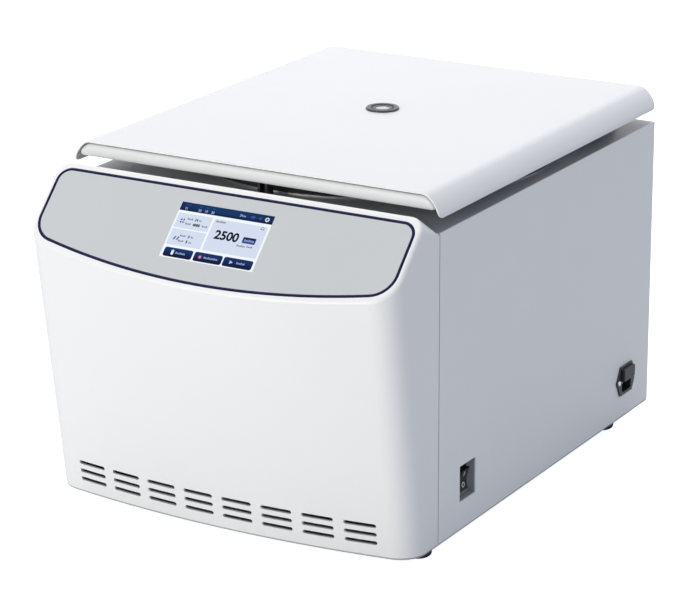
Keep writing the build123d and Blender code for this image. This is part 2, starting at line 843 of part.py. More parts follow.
# Control board on standoffs in front of the bulkhead
board_back = panels_front - standoff_length
with BuildPart() as control_board:
    with BuildSketch(Plane.XZ.offset(-panels_front)):
        with Locations((0, board_z)):
            with GridLocations(board_width - 2 * board_hole_inset, board_height - 2 * board_hole_inset, 2, 2):
                Circle(standoff_radius)
    extrude(amount=standoff_length)
    span(
        (-board_width / 2, board_width / 2),
        (board_back - board_sheet, board_back),
        (board_z - board_height / 2, board_z + board_height / 2),
    )
    board_face = board_back - board_sheet
    with BuildSketch(Plane.XZ.offset(-board_face)):
        for chip_across, chip_up, chip_width, chip_tall in board_chips:
            with Locations((chip_across, board_z + chip_up)):
                Rectangle(chip_width, chip_tall)
    extrude(amount=chip_height)
    with BuildSketch(Plane.XZ.offset(-board_face)):
        with Locations((capacitor_place[0], board_z + capacitor_place[1])):
            with GridLocations(capacitor_pitch, 0, 3, 1):
                Circle(capacitor_radius)
    extrude(amount=capacitor_height)
keep(control_board, "control_board")

# Cover screws, from behind the bulkhead into the cover's bosses
with BuildPart() as cover_screws:
    with BuildSketch(Plane.XZ.offset(-bulkhead_back - screw_head_height)):
        with Locations(*boss_places):
            Circle(screw_head)
    extrude(amount=screw_head_height)
    with BuildSketch(Plane.XZ.offset(-bulkhead_back)):
        with Locations(*boss_places):
            Circle(screw_radius)
    extrude(amount=screw_reach)
keep(cover_screws, "cover_screws")

# Rear screws: four at the panel's corners and four through the fan's corners
with BuildPart() as rear_screws:
    for extent, reach in ((screw_head, -screw_head_height), (screw_radius, rear_screw_reach)):
        with BuildSketch(rear_plane):
            with Locations((0, rear_middle)):
                with GridLocations(2 * rear_screw_x, 2 * rear_screw_z, 2, 2):
                    Circle(extent)
            with Locations((fan_x, fan_z)):
                with GridLocations(fan_hole_spacing, fan_hole_spacing, 2, 2):
                    Circle(extent)
        extrude(amount=reach)
keep(rear_screws, "rear_screws")

# Chamber bowl with a rolled bottom corner and a flat rim over the deck
bowl_outer = bowl_radius + bowl_sheet
with BuildPart() as bowl_space:
    with BuildSketch(Plane.XY.offset(bowl_floor)):
        with Locations((0, chamber_y)):
            Circle(bowl_radius)
    extrude(amount=rim_top - bowl_floor)
    fillet(bowl_space.edges().group_by(Axis.Z)[0], bowl_corner)

with BuildPart() as chamber_bowl:
    with BuildSketch(Plane.XY.offset(bowl_under)):
        with Locations((0, chamber_y)):
            Circle(bowl_outer)
    extrude(amount=deck_top - bowl_under)
    fillet(chamber_bowl.edges().group_by(Axis.Z)[0], bowl_corner + bowl_sheet)
    with BuildSketch(Plane.XY.offset(deck_top)):
        with Locations((0, chamber_y)):
            Circle(bowl_radius + bowl_rim)
    extrude(amount=bowl_sheet)
    add(bowl_space.part, mode=Mode.SUBTRACT)
    with BuildSketch(Plane.XY.offset(bowl_under)):
        with Locations((0, chamber_y)):
            Circle(boot_hole)
    extrude(amount=bowl_sheet, mode=Mode.SUBTRACT)
keep(chamber_bowl, "chamber_bowl")

# Rubber gasket on the bowl's rim
with BuildPart() as chamber_gasket:
    with BuildSketch(Plane.XY.offset(rim_top)):
        with Locations((0, chamber_y)):
            Circle(gasket_outer)
            Circle(gasket_inner, mode=Mode.SUBTRACT)
    extrude(amount=gasket_height)
    fillet(chamber_gasket.edges().group_by(Axis.Z)[-1], (gasket_outer - gasket_inner) / 3)
keep(chamber_gasket, "chamber_gasket")

# Guard ring: the steel wall round the chamber, between the motor plate and the deck
with BuildPart() as guard_ring:
    with BuildSketch(Plane.XY.offset(plate_top)):
        with Locations((0, chamber_y)):
            Circle(guard_inner + guard_wall)
            Circle(guard_inner, mode=Mode.SUBTRACT)
    extrude(amount=deck_under - plate_top)
keep(guard_ring, "guard_ring")

# Motor plate on four posts
with BuildPart() as motor_plate:
    with BuildSketch(Plane.XY.offset(plate_under)):
        with Locations((0, chamber_y)):
            RectangleRounded(2 * plate_half, 2 * plate_reach, plate_corner)
            Circle(plate_hole, mode=Mode.SUBTRACT)
    extrude(amount=plate_sheet)
keep(motor_plate, "motor_plate")

with BuildPart() as frame_posts:
    with BuildSketch(Plane.XY.offset(base_top)):
        with Locations((0, chamber_y)):
            with GridLocations(2 * post_x, 2 * post_y, 2, 2):
                Circle(post_radius)
    extrude(amount=plate_under - base_top)
keep(frame_posts, "frame_posts")

# Motor: rubber dampers, end shield, housing, stator and bearings
with BuildPart() as motor_dampers:
    with BuildSketch(Plane.XY.offset(shield_top)):
        with Locations((0, chamber_y)):
            with PolarLocations(damper_from_axis, 4, start_angle=45):
                Circle(damper_radius)
    extrude(amount=damper_height)
keep(motor_dampers, "motor_dampers")

with BuildPart() as motor_endshield:
    with BuildSketch(Plane.XY.offset(shield_under)):
        with Locations((0, chamber_y)):
            Circle(shield_radius)
    extrude(amount=shield_plate)
    with BuildSketch(Plane.XY.offset(shield_top)):
        with Locations((0, chamber_y)):
            Circle(spigot_radius)
    extrude(amount=spigot_rise)
    with BuildSketch(Plane.XY.offset(shield_under)):
        with Locations((0, chamber_y)):
            Circle(shield_boss)
    extrude(amount=-shield_boss_drop)
    with BuildSketch(Plane.XY.offset(shield_under - shield_boss_drop)):
        with Locations((0, chamber_y)):
            Circle(bearing_radius + fixed_gap)
    extrude(amount=bearing_width + bearing_recess, mode=Mode.SUBTRACT)
    with BuildSketch(Plane.XY.offset(shield_under - shield_boss_drop)):
        with Locations((0, chamber_y)):
            Circle(shaft_radius + shaft_clearance)
    extrude(amount=shield_boss_drop + shield_plate + spigot_rise, mode=Mode.SUBTRACT)
keep(motor_endshield, "motor_endshield")

with BuildPart() as motor_housing:
    with BuildSketch(Plane.XY.offset(motor_under)):
        with Locations((0, chamber_y)):
            Circle(motor_radius)
    extrude(amount=motor_length)
    fillet(motor_housing.edges().group_by(Axis.Z)[0], motor_corner)
    with BuildSketch(Plane.XY.offset(motor_under + motor_wall)):
        with Locations((0, chamber_y)):
            Circle(motor_inner)
    extrude(amount=motor_length - motor_wall, mode=Mode.SUBTRACT)
    with BuildSketch(Plane.XY.offset(lower_bearing)):
        with Locations((0, chamber_y)):
            Circle(bearing_radius + bearing_collar)
            Circle(bearing_radius + fixed_gap, mode=Mode.SUBTRACT)
    extrude(amount=bearing_width)
keep(motor_housing, "motor_housing")

with BuildPart() as motor_stator:
    with BuildSketch(Plane.XY.offset(stator_low)):
        with Locations((0, chamber_y)):
            Circle(motor_inner - fixed_gap)
            Circle(stator_inner, mode=Mode.SUBTRACT)
    extrude(amount=stator_length)
keep(motor_stator, "motor_stator")

with BuildPart() as motor_bearings:
    for bearing_low in (lower_bearing, upper_bearing):
        with BuildSketch(Plane.XY.offset(bearing_low)):
            with Locations((0, chamber_y)):
                Circle(bearing_radius)
                Circle(shaft_radius + running_gap, mode=Mode.SUBTRACT)
        extrude(amount=bearing_width)
keep(motor_bearings, "motor_bearings")

# Rubber boot between the motor's spigot and the bowl's hole
boot_inner = shaft_radius + boot_shaft_gap
spigot_top = shield_top + spigot_rise
boot_top = bowl_floor + boot_lip_sheet
with BuildPart() as shaft_boot:
    with BuildSketch(Plane.XZ.offset(-chamber_y)):
        with BuildLine():
            Polyline(
                (spigot_radius + fixed_gap, plate_under - boot_grip),
                (spigot_radius + boot_wall, plate_under - boot_grip),
                (spigot_radius + boot_wall, plate_top),
                (boot_hole - fixed_gap, bowl_under),
                (boot_hole - fixed_gap, bowl_floor),
                (boot_hole + boot_lip, bowl_floor),
                (boot_hole + boot_lip, boot_top),
                (boot_inner, boot_top),
                (boot_inner, spigot_top),
                (spigot_radius + fixed_gap, spigot_top),
                close=True,
            )
        make_face()
    revolve(axis=Axis((0, chamber_y, 0), (0, 0, 1)))
keep(shaft_boot, "shaft_boot")

# Drive shaft with the motor's core on it
with BuildPart() as drive_shaft:
    for extent, low, high in (
        (shaft_radius, lower_bearing, hub_top),
        (shaft_collar, hub_under - shaft_collar_length, hub_under),
        (thread_radius, hub_top, hub_top + thread_length),
    ):
        with BuildSketch(Plane.XY.offset(low)):
            with Locations((0, chamber_y)):
                Circle(extent)
        extrude(amount=high - low)
keep(drive_shaft, "drive_shaft")

with BuildPart() as motor_core:
    with BuildSketch(Plane.XY.offset(core_low)):
        with Locations((0, chamber_y)):
            Circle(stator_inner - air_gap)
            Circle(shaft_radius + fixed_gap, mode=Mode.SUBTRACT)
    extrude(amount=core_length)
keep(motor_core, "motor_core")

# Rotor yoke: a hub, a bridge and two side arms that carry the bucket pins
with BuildPart() as rotor_yoke:
    with BuildSketch(Plane.XY.offset(hub_under)):
        with Locations((0, chamber_y)):
            Circle(hub_radius)
    extrude(amount=hub_height)
    span(
        (-bridge_width / 2, bridge_width / 2),
        (chamber_y - arm_inner, chamber_y + arm_inner),
        (pin_z - bridge_height / 2, pin_z + bridge_height / 2),
    )
    for arm_back in (chamber_y - arm_inner, chamber_y + arm_outer):
        with BuildSketch(Plane.XZ.offset(-arm_back)):
            with Locations((0, pin_z)):
                SlotOverall(2 * (pin_from_axis + arm_beyond_pin), arm_height)
                with Locations((-pin_from_axis, 0), (pin_from_axis, 0)):
                    Circle(pin_radius + fixed_gap, mode=Mode.SUBTRACT)
        extrude(amount=arm_thickness)
    with BuildSketch(Plane.XY.offset(hub_under)):
        with Locations((0, chamber_y)):
            Circle(shaft_radius + fixed_gap)
    extrude(amount=hub_height, mode=Mode.SUBTRACT)
keep(rotor_yoke, "rotor_yoke")

with BuildPart() as bucket_pins:
    for pin_back in (chamber_y - arm_inner + bucket_side_gap + pin_engagement, chamber_y + arm_outer):
        with BuildSketch(Plane.XZ.offset(-pin_back)):
            with Locations((-pin_from_axis, pin_z), (pin_from_axis, pin_z)):
                Circle(pin_radius)
        extrude(amount=arm_thickness + bucket_side_gap + pin_engagement)
keep(bucket_pins, "bucket_pins")

with BuildPart() as rotor_nut:
    with BuildSketch(Plane.XY.offset(hub_top)):
        with Locations((0, chamber_y)):
            RegularPolygon(nut_radius, 6)
            Circle(thread_radius + fixed_gap, mode=Mode.SUBTRACT)
    extrude(amount=thread_length)
    with BuildSketch(Plane.XY.offset(hub_top + thread_length)):
        with Locations((0, chamber_y)):
            RegularPolygon(nut_radius, 6)
    extrude(amount=nut_height - thread_length)
    chamfer(rotor_nut.faces().sort_by(Axis.Z)[-1].edges(), nut_chamfer)
keep(rotor_nut, "rotor_nut")

# Swing-out buckets, open on top, hanging from the pins by a boss at each end
bucket_low = pin_z - bucket_below_pin
bucket_high = pin_z + bucket_above_pin
for side, bucket_name in ((-1, "left_bucket"), (1, "right_bucket")):
    bucket_x = side * pin_from_axis
    with BuildPart() as bucket:
        with BuildSketch(Plane.XY.offset(bucket_low)):
            with Locations((bucket_x, chamber_y)):
                RectangleRounded(bucket_width, bucket_length, bucket_corner)
        extrude(amount=bucket_high - bucket_low)
        fillet(bucket.edges().group_by(Axis.Z)[0], bucket_wall)
        for boss_back in (chamber_y - bucket_length / 2, chamber_y + boss_face):
            with BuildSketch(Plane.XZ.offset(-boss_back)):
                with Locations((bucket_x, pin_z)):
                    Circle(bucket_above_pin)
            extrude(amount=bucket_boss)
        for bore_back in (chamber_y - bucket_length / 2, chamber_y + boss_face):
            with BuildSketch(Plane.XZ.offset(-bore_back)):
                with Locations((bucket_x, pin_z)):
                    Circle(pin_radius + running_gap)
            extrude(amount=bucket_boss, mode=Mode.SUBTRACT)
        with BuildSketch(Plane.XY.offset(bucket_low + bucket_wall)):
            with Locations((bucket_x, chamber_y)):
                RectangleRounded(plate_bay_width, plate_bay_length, bucket_corner - bucket_wall)
        extrude(amount=bucket_high - bucket_low, mode=Mode.SUBTRACT)
    keep(bucket, bucket_name)

# Lid shell: one sheet with rolled sides and round corners
port_hole = port_sleeve + port_hole_gap
shell_section = rolled_section(0)
shell_hollow = rolled_section(lid_sheet)
with BuildPart() as lid_shell:
    with BuildSketch(Plane.XZ.offset(-lid_back)):
        add(shell_section)
    extrude(amount=lid_back - lid_front)
    with BuildSketch(Plane.XZ.offset(-lid_back)):
        add(shell_hollow)
    extrude(amount=lid_back - lid_front, mode=Mode.SUBTRACT)
    with BuildSketch(Plane.YZ):
        with Locations(((lid_front + lid_back) / 2, (lid_tip + lid_top) / 2)):
            Rectangle(lid_back - lid_front, lid_top - lid_tip)
        fillet(vertices().group_by(Axis.Y)[0], lid_corner)
    extrude(amount=case_width, both=True, mode=Mode.INTERSECT)
    with BuildSketch(Plane.XY.offset(lid_under)):
        with Locations((0, port_y)):
            Circle(port_hole)
    extrude(amount=lid_sheet, mode=Mode.SUBTRACT)
keep(lid_shell, "lid_shell")

# Lid liner: a shallow tray under the shell, its front wall between the rolled sides and a little deeper
liner_section = rolled_section(lid_sheet + fixed_gap)
with BuildPart() as lid_liner:
    with BuildSketch(Plane.XZ.offset(-liner_back)):
        liner_outline(liner_section, liner_under - liner_lip)
    extrude(amount=liner_back - liner_front)
    fillet(lid_liner.edges().group_by(Axis.Y)[0], liner_front_rounding)
    span(
        (-lid_half, lid_half),
        (liner_front + liner_lip_depth, liner_back),
        (liner_under - 2 * liner_lip, liner_under),
        Mode.SUBTRACT,
    )
    with BuildSketch(Plane.XZ.offset(liner_sheet - liner_back)):
        liner_outline(liner_section, liner_under)
        offset(amount=-liner_sheet, mode=Mode.REPLACE)
    extrude(amount=liner_back - liner_front - 2 * liner_sheet, mode=Mode.SUBTRACT)
    with BuildSketch(Plane.XY.offset(liner_under + liner_sheet)):
        with Locations((0, (liner_front + liner_back) / 2)):
            Rectangle(2 * bend_x, liner_back - liner_front - 2 * liner_sheet)
    extrude(amount=liner_height, mode=Mode.SUBTRACT)
    with BuildSketch(Plane.XY.offset(liner_under)):
        with Locations((0, port_y)):
            Circle(port_hole)
    extrude(amount=liner_sheet, mode=Mode.SUBTRACT)
keep(lid_liner, "lid_liner")

# Sealing disc: a pan under the liner that closes on the gasket
with BuildPart() as sealing_disc:
    with BuildSketch(Plane.XY.offset(disc_under)):
        with Locations((0, chamber_y)):
            Circle(disc_radius)
    extrude(amount=liner_under - disc_under)
    fillet(sealing_disc.edges().group_by(Axis.Z)[0], disc_corner)
    with BuildSketch(Plane.XY.offset(disc_under + disc_sheet)):
        with Locations((0, chamber_y)):
            Circle(disc_radius - disc_sheet)
    extrude(amount=liner_under - disc_under, mode=Mode.SUBTRACT)
    with BuildSketch(Plane.XY.offset(disc_under)):
        with Locations((0, port_y)):
            Circle(port_hole)
    extrude(amount=disc_sheet, mode=Mode.SUBTRACT)
keep(sealing_disc, "sealing_disc")

# Viewing port: a flanged ring through the lid, a clear lens on its shelf, a nut below
port_top = lid_top + port_rise
lens_top = port_top - port_sink
lens_low = lens_top - lens_height
with BuildPart() as port_ring:
    with BuildSketch(Plane.XY.offset(lid_top)):
        with Locations((0, port_y)):
            Circle(port_radius)
    extrude(amount=port_rise)
    chamfer(port_ring.edges().group_by(Axis.Z)[-1], port_rise / 2)
    with BuildSketch(Plane.XY.offset(disc_under - port_nut_height)):
        with Locations((0, port_y)):
            Circle(port_sleeve)
    extrude(amount=lid_top - disc_under + port_nut_height)
    with BuildSketch(Plane.XY.offset(disc_under - port_nut_height)):
        with Locations((0, port_y)):
            Circle(port_shelf)
    extrude(amount=port_top - disc_under + port_nut_height, mode=Mode.SUBTRACT)
    with BuildSketch(Plane.XY.offset(lens_low)):
        with Locations((0, port_y)):
            Circle(port_bore)
    extrude(amount=port_top - lens_low, mode=Mode.SUBTRACT)
    mouth = port_ring.edges().filter_by(GeomType.CIRCLE).group_by(Axis.Z)[-1].sort_by(SortBy.RADIUS)[0]
    chamfer(mouth, port_bevel)
keep(port_ring, "port_ring")

with BuildPart() as port_lens:
    with BuildSketch(Plane.XY.offset(lens_low)):
        with Locations((0, port_y)):
            Circle(port_bore - fixed_gap)
    extrude(amount=lens_height)
keep(port_lens, "port_lens")

with BuildPart() as port_nut:
    with BuildSketch(Plane.XY.offset(disc_under - port_nut_height)):
        with Locations((0, port_y)):
            RegularPolygon(port_nut_radius, 6)
            Circle(port_sleeve + fixed_gap, mode=Mode.SUBTRACT)
    extrude(amount=port_nut_height)
keep(port_nut, "port_nut")

# Hinges: two clevises on the deck with their pins, and an eye under the lid in each
hinge_sides = (-1, 1)
ear_places = (-ear_end, ear_start)
with BuildPart() as hinge_brackets:
    for side in hinge_sides:
        span(
            (side * hinge_x - hinge_foot_half, side * hinge_x + hinge_foot_half),
            (hinge_y - hinge_foot_front, hinge_y + hinge_foot_back),
            (deck_top, deck_top + hinge_foot),
        )
        for ear_place in ear_places:
            with BuildSketch(Plane.YZ.offset(side * hinge_x + ear_place)):
                with Locations((hinge_y, hinge_z)):
                    Circle(ear_radius)
                with Locations((hinge_y, (deck_top + hinge_foot + hinge_z) / 2)):
                    Rectangle(2 * ear_radius, hinge_z - deck_top - hinge_foot)
            extrude(amount=ear_width)
        with BuildSketch(Plane.YZ.offset(side * hinge_x - hinge_foot_half)):
            with Locations((hinge_y, hinge_z)):
                Circle(hinge_pin_radius + fixed_gap)
        extrude(amount=2 * hinge_foot_half, mode=Mode.SUBTRACT)
        # a seat under the torsion spring's lower leg
        seat_ends = sorted((side * (hinge_x + ear_end), side * (hinge_x + hinge_foot_half)))
        seat_depth = (hinge_y - hinge_foot_front, hinge_y - spring_seat_start)
        span(seat_ends, seat_depth, (deck_top + hinge_foot, hinge_z - spring_radius - spring_wire))
keep(hinge_brackets, "hinge_brackets")

with BuildPart() as hinge_pins:
    for side in hinge_sides:
        for head_place, extent, reach in (
            (-hinge_pin_half, hinge_pin_radius, 2 * hinge_pin_half),
            (-hinge_pin_half - hinge_head, hinge_head_radius, hinge_head),
            (hinge_pin_half, hinge_head_radius, hinge_head),
        ):
            with BuildSketch(Plane.YZ.offset(side * hinge_x + head_place)):
                with Locations((hinge_y, hinge_z)):
                    Circle(extent)
            extrude(amount=reach)
keep(hinge_pins, "hinge_pins")

with BuildPart() as lid_hinge_arms:
    for side in hinge_sides:
        arm_x = side * hinge_x
        with BuildSketch(Plane.YZ.offset(arm_x - eye_half)):
            with Locations((hinge_y, hinge_z)):
                Circle(eye_radius)
            with Locations((hinge_y, (hinge_z + arm_plate_under) / 2)):
                Rectangle(eye_neck, arm_plate_under - hinge_z)
        extrude(amount=2 * eye_half)
        plate_ends = sorted((arm_x - side * arm_plate_half, arm_x + side * hinge_foot_half))
        plate_depth = (hinge_y - arm_plate_front, hinge_y + arm_plate_back)
        span(plate_ends, plate_depth, (arm_plate_under, liner_under))
        # a pad over the torsion spring's upper leg
        pad_ends = sorted((side * (hinge_x + ear_end + spring_pad_gap), side * (hinge_x + hinge_foot_half)))
        span(pad_ends, (hinge_y - spring_leg, hinge_y - spring_seat_start), (pad_under, arm_plate_under))
        with BuildSketch(Plane.YZ.offset(arm_x - eye_half)):
            with Locations((hinge_y, hinge_z)):
                Circle(hinge_pin_radius + running_gap)
        extrude(amount=2 * eye_half, mode=Mode.SUBTRACT)
keep(lid_hinge_arms, "lid_hinge_arms")

# Torsion springs that lift the lid, one round the outer end of each hinge pin
coil_paths = []
for side in hinge_sides:
    coil_start = side * (hinge_x + ear_end + spring_wire + rest_gap)
    coil_plane = Plane(origin=(coil_start, hinge_y, hinge_z), x_dir=(0, 0, -1), z_dir=(side, 0, 0))
    coil = Helix(spring_pitch, spring_pitch * spring_turns, spring_radius, lefthand=side < 0)
    coil_paths.append(coil_plane.location * coil)

with BuildPart() as hinge_springs:
    for coil_path in coil_paths:
        with BuildSketch(Plane(origin=coil_path @ 0, z_dir=coil_path % 0)):
            Circle(spring_wire)
        sweep(path=coil_path)
        for leg_root in (coil_path @ 0, coil_path @ 1):
            with BuildSketch(Plane(origin=leg_root, x_dir=(1, 0, 0), z_dir=(0, -1, 0))):
                Circle(spring_wire)
            extrude(amount=spring_leg)
keep(hinge_springs, "hinge_springs")

# Striker: a plate under the liner with two legs that drop through the deck's slots
leg_inner = leg_spacing / 2 - leg_thickness / 2
with BuildPart() as lock_striker:
    span(
        (-striker_half, striker_half),
        (lock_y - striker_depth / 2, lock_y + striker_depth / 2),
        (arm_plate_under, liner_under),
    )
    for side in (-1, 1):
        leg_ends = sorted((side * leg_inner, side * (leg_inner + leg_thickness)))
        span(leg_ends, (lock_y - leg_width / 2, lock_y + leg_width / 2), (leg_low, arm_plate_under))
    fillet(lock_striker.edges().filter_by(Axis.X).group_by(Axis.Z)[0], leg_width / 4)
    with BuildSketch(Plane.YZ.offset(-leg_spacing)):
        with Locations((lock_y, bolt_z)):
            Rectangle(leg_window, leg_window)
    extrude(amount=2 * leg_spacing, mode=Mode.SUBTRACT)
keep(lock_striker, "lock_striker")

# Lid screws: under the hinge arms and under the striker's plate
lid_screw_places = [(side * striker_screw_half, lock_y) for side in (-1, 1)]
for side in (-1, 1):
    for offset_x in (-arm_screw_half, arm_screw_half):
        lid_screw_places.append((side * hinge_x + offset_x, hinge_y - arm_plate_front + arm_screw_inset))

with BuildPart() as lid_screws:
    with BuildSketch(Plane.XY.offset(arm_plate_under - screw_head_height)):
        with Locations(*lid_screw_places):
            Circle(screw_head)
    extrude(amount=screw_head_height)
    fillet(lid_screws.edges().group_by(Axis.Z)[0], screw_head_height / 3)
keep(lid_screws, "lid_screws")

# Lid lock: a housing under the deck, a sliding bolt and its solenoid
with BuildPart() as lock_housing:
    span(
        (-lock_half, lock_half),
        (lock_y - lock_depth / 2, lock_y + lock_depth / 2),
        (deck_under - lock_height, deck_under),
    )
    span(
        (-lock_cavity_half, lock_cavity_half),
        (lock_y - lock_cavity_depth / 2, lock_y + lock_cavity_depth / 2),
        (deck_under - lock_height + lock_floor, deck_under),
        Mode.SUBTRACT,
    )
    with BuildSketch(Plane.YZ.offset(-lock_half)):
        with Locations((lock_y, bolt_z)):
            Circle(bolt_radius + running_gap)
    extrude(amount=2 * lock_half, mode=Mode.SUBTRACT)
keep(lock_housing, "lock_housing")

solenoid_start = -lock_half - solenoid_length
with BuildPart() as lock_solenoid:
    span(
        (solenoid_start, -lock_half),
        (lock_y - solenoid_side / 2, lock_y + solenoid_side / 2),
        (deck_under - solenoid_side, deck_under),
    )
    with BuildSketch(Plane.YZ.offset(solenoid_start)):
        with Locations((lock_y, bolt_z)):
            Circle(bolt_radius + running_gap)
    extrude(amount=solenoid_length, mode=Mode.SUBTRACT)
keep(lock_solenoid, "lock_solenoid")

bolt_back = solenoid_start + bolt_inside
with BuildPart() as lock_bolt:
    with BuildSketch(Plane.YZ.offset(bolt_back)):
        with Locations((lock_y, bolt_z)):
            Circle(bolt_radius)
    extrude(amount=-bolt_rest - bolt_back)
    chamfer(lock_bolt.edges().group_by(Axis.X)[-1], bolt_chamfer)
keep(lock_bolt, "lock_bolt")

# Power switch: a recess behind the side panel, a bezel and housing, and the rocker
with BuildPart() as switch_recess:
    with BuildSketch(Plane.YZ.offset(inner_half)):
        with Locations((switch_y, switch_z)):
            Rectangle(recess_width + 2 * recess_flange, recess_height + 2 * recess_flange)
    extrude(amount=-recess_wall)
    with BuildSketch(Plane.YZ.offset(inner_half)):
        with Locations((switch_y, switch_z)):
            Rectangle(recess_width + 2 * recess_wall, recess_height + 2 * recess_wall)
    extrude(amount=recess_floor - recess_wall - inner_half)
    with BuildSketch(Plane.YZ.offset(inner_half)):
        with Locations((switch_y, switch_z)):
            Rectangle(recess_width, recess_height)
    extrude(amount=recess_floor - inner_half, mode=Mode.SUBTRACT)
    with BuildSketch(Plane.YZ.offset(recess_floor)):
        with Locations((switch_y, switch_z)):
            Rectangle(bezel_width - 2 * bezel_border, bezel_height - 2 * bezel_border)
    extrude(amount=-recess_wall, mode=Mode.SUBTRACT)
keep(switch_recess, "switch_recess")

bezel_face = recess_floor + bezel_rise
rocker_axis_x = bezel_face - rocker_axis_depth
with BuildPart() as switch_housing:
    with BuildSketch(Plane.YZ.offset(recess_floor)):
        with Locations((switch_y, switch_z)):
            RectangleRounded(bezel_width, bezel_height, bezel_corner)
    extrude(amount=bezel_rise)
    chamfer(switch_housing.edges().group_by(Axis.X)[-1], bezel_chamfer)
    with BuildSketch(Plane.YZ.offset(recess_floor)):
        with Locations((switch_y, switch_z)):
            Rectangle(bezel_width - 2 * bezel_border, bezel_height - 2 * bezel_border)
    extrude(amount=-switch_depth)
    with BuildSketch(Plane.YZ.offset(bezel_face)):
        with Locations((switch_y, switch_z)):
            Rectangle(rocker_bay_width, rocker_bay_height)
    extrude(amount=-rocker_bay_depth, mode=Mode.SUBTRACT)
    axle_hole_end = rocker_bay_width / 2 + rocker_stub
    with BuildSketch(Plane.XZ.offset(-switch_y - axle_hole_end)):
        with Locations((rocker_axis_x, switch_z)):
            Circle(rocker_axle + running_gap)
    extrude(amount=2 * axle_hole_end, mode=Mode.SUBTRACT)
keep(switch_housing, "switch_housing")

# The rocker rests in its off position, its lower end pressed in
rocker_turn = math.radians(rocker_tilt)
rocker_plane = Plane(
    origin=(rocker_axis_x, switch_y, switch_z),
    x_dir=(math.cos(rocker_turn), 0, -math.sin(rocker_turn)),
    z_dir=(0, -1, 0),
)
rocker_top = rocker_axis_depth + rocker_rise
rocker_back = rocker_axis_depth - rocker_depth
with BuildPart() as power_rocker:
    with BuildSketch(rocker_plane):
        with BuildLine():
            crown = ThreePointArc(
                (rocker_top, -rocker_height / 2),
                (rocker_top - rocker_notch, 0),
                (rocker_top, rocker_height / 2),
            )
            Polyline(
                crown @ 1,
                (rocker_back, rocker_height / 2 - rocker_taper),
                (rocker_back, -rocker_height / 2 + rocker_taper),
                crown @ 0,
            )
        make_face()
    extrude(amount=rocker_width / 2, both=True)
    with BuildSketch(rocker_plane):
        Circle(rocker_axle)
    extrude(amount=rocker_width / 2 + rocker_stub, both=True)
keep(power_rocker, "power_rocker")

# Power inlet: a six-sided flange, a socket below and a fuse drawer above
inlet_face = half_width + inlet_flange
with BuildPart() as power_inlet:
    with BuildSketch(Plane.YZ.offset(half_width)):
        with BuildLine():
            Polyline(
                (inlet_y - inlet_length / 2, inlet_z),
                (inlet_y - inlet_top_length / 2, inlet_z + inlet_tall / 2),
                (inlet_y + inlet_top_length / 2, inlet_z + inlet_tall / 2),
                (inlet_y + inlet_length / 2, inlet_z),
                (inlet_y + inlet_top_length / 2, inlet_z - inlet_tall / 2),
                (inlet_y - inlet_top_length / 2, inlet_z - inlet_tall / 2),
                close=True,
            )
        make_face()
        fillet(vertices(), inlet_corner)
    extrude(amount=inlet_flange)
    chamfer(power_inlet.edges().group_by(Axis.X)[-1], inlet_chamfer)
    with BuildSketch(Plane.YZ.offset(half_width)):
        with Locations((inlet_y, inlet_z)):
            Rectangle(inlet_body_length, inlet_body_tall)
    extrude(amount=-inlet_depth)
    with BuildSketch(Plane.YZ.offset(inlet_face)):
        with Locations((inlet_y, socket_z)):
            Rectangle(socket_length, socket_tall)
        fillet(vertices().group_by(Axis.Y)[0], socket_corner)
    extrude(amount=-socket_depth, mode=Mode.SUBTRACT)
    with BuildSketch(Plane.YZ.offset(inlet_face)):
        with Locations((inlet_y, drawer_z)):
            Rectangle(drawer_length + 2 * drawer_gap, drawer_tall + 2 * drawer_gap)
    extrude(amount=-drawer_depth - drawer_gap, mode=Mode.SUBTRACT)
keep(power_inlet, "power_inlet")

# Three flat contact pins on the socket's floor
with BuildPart() as inlet_pins:
    with BuildSketch(Plane.YZ.offset(inlet_face - socket_depth)):
        with Locations((inlet_y, socket_z)):
            with GridLocations(socket_pin_spacing, 0, 3, 1):
                Rectangle(socket_pin_thick, socket_pin_tall)
    extrude(amount=socket_pin_length)
    chamfer(inlet_pins.edges().group_by(Axis.X)[-1], socket_pin_chamfer)
keep(inlet_pins, "inlet_pins")

with BuildPart() as fuse_drawer:
    with BuildSketch(Plane.YZ.offset(inlet_face - drawer_depth)):
        with Locations((inlet_y, drawer_z)):
            Rectangle(drawer_length, drawer_tall)
    extrude(amount=drawer_depth)
    with BuildSketch(Plane.YZ.offset(inlet_face + drawer_gap)):
        with Locations((inlet_y, drawer_z)):
            RectangleRounded(drawer_length + drawer_lip_length, drawer_tall + drawer_lip_tall, drawer_corner)
    extrude(amount=drawer_face - drawer_gap)
    chamfer(fuse_drawer.edges().group_by(Axis.X)[-1], drawer_chamfer)
    with BuildSketch(Plane.YZ.offset(inlet_face)):
        with Locations((inlet_y, drawer_z)):
            Rectangle(drawer_length, drawer_tall)
    extrude(amount=drawer_gap)
    with BuildSketch(Plane.XY.offset(drawer_z - drawer_tall / 2 + drawer_wall)):
        with Locations((inlet_face - drawer_depth / 2, inlet_y)):
            Rectangle(drawer_depth - 2 * drawer_end, drawer_length - 2 * drawer_wall)
    extrude(amount=drawer_tall - drawer_wall, mode=Mode.SUBTRACT)
keep(fuse_drawer, "fuse_drawer")

with BuildPart() as inlet_screws:
    with BuildSketch(Plane.YZ.offset(inlet_face)):
        with Locations((inlet_y, inlet_z)):
            with GridLocations(inlet_screw_spacing, 0, 2, 1):
                Circle(screw_head)
    extrude(amount=inlet_head_height)
    fillet(inlet_screws.edges().group_by(Axis.X)[-1], inlet_head_height / 2)
keep(inlet_screws, "inlet_screws")

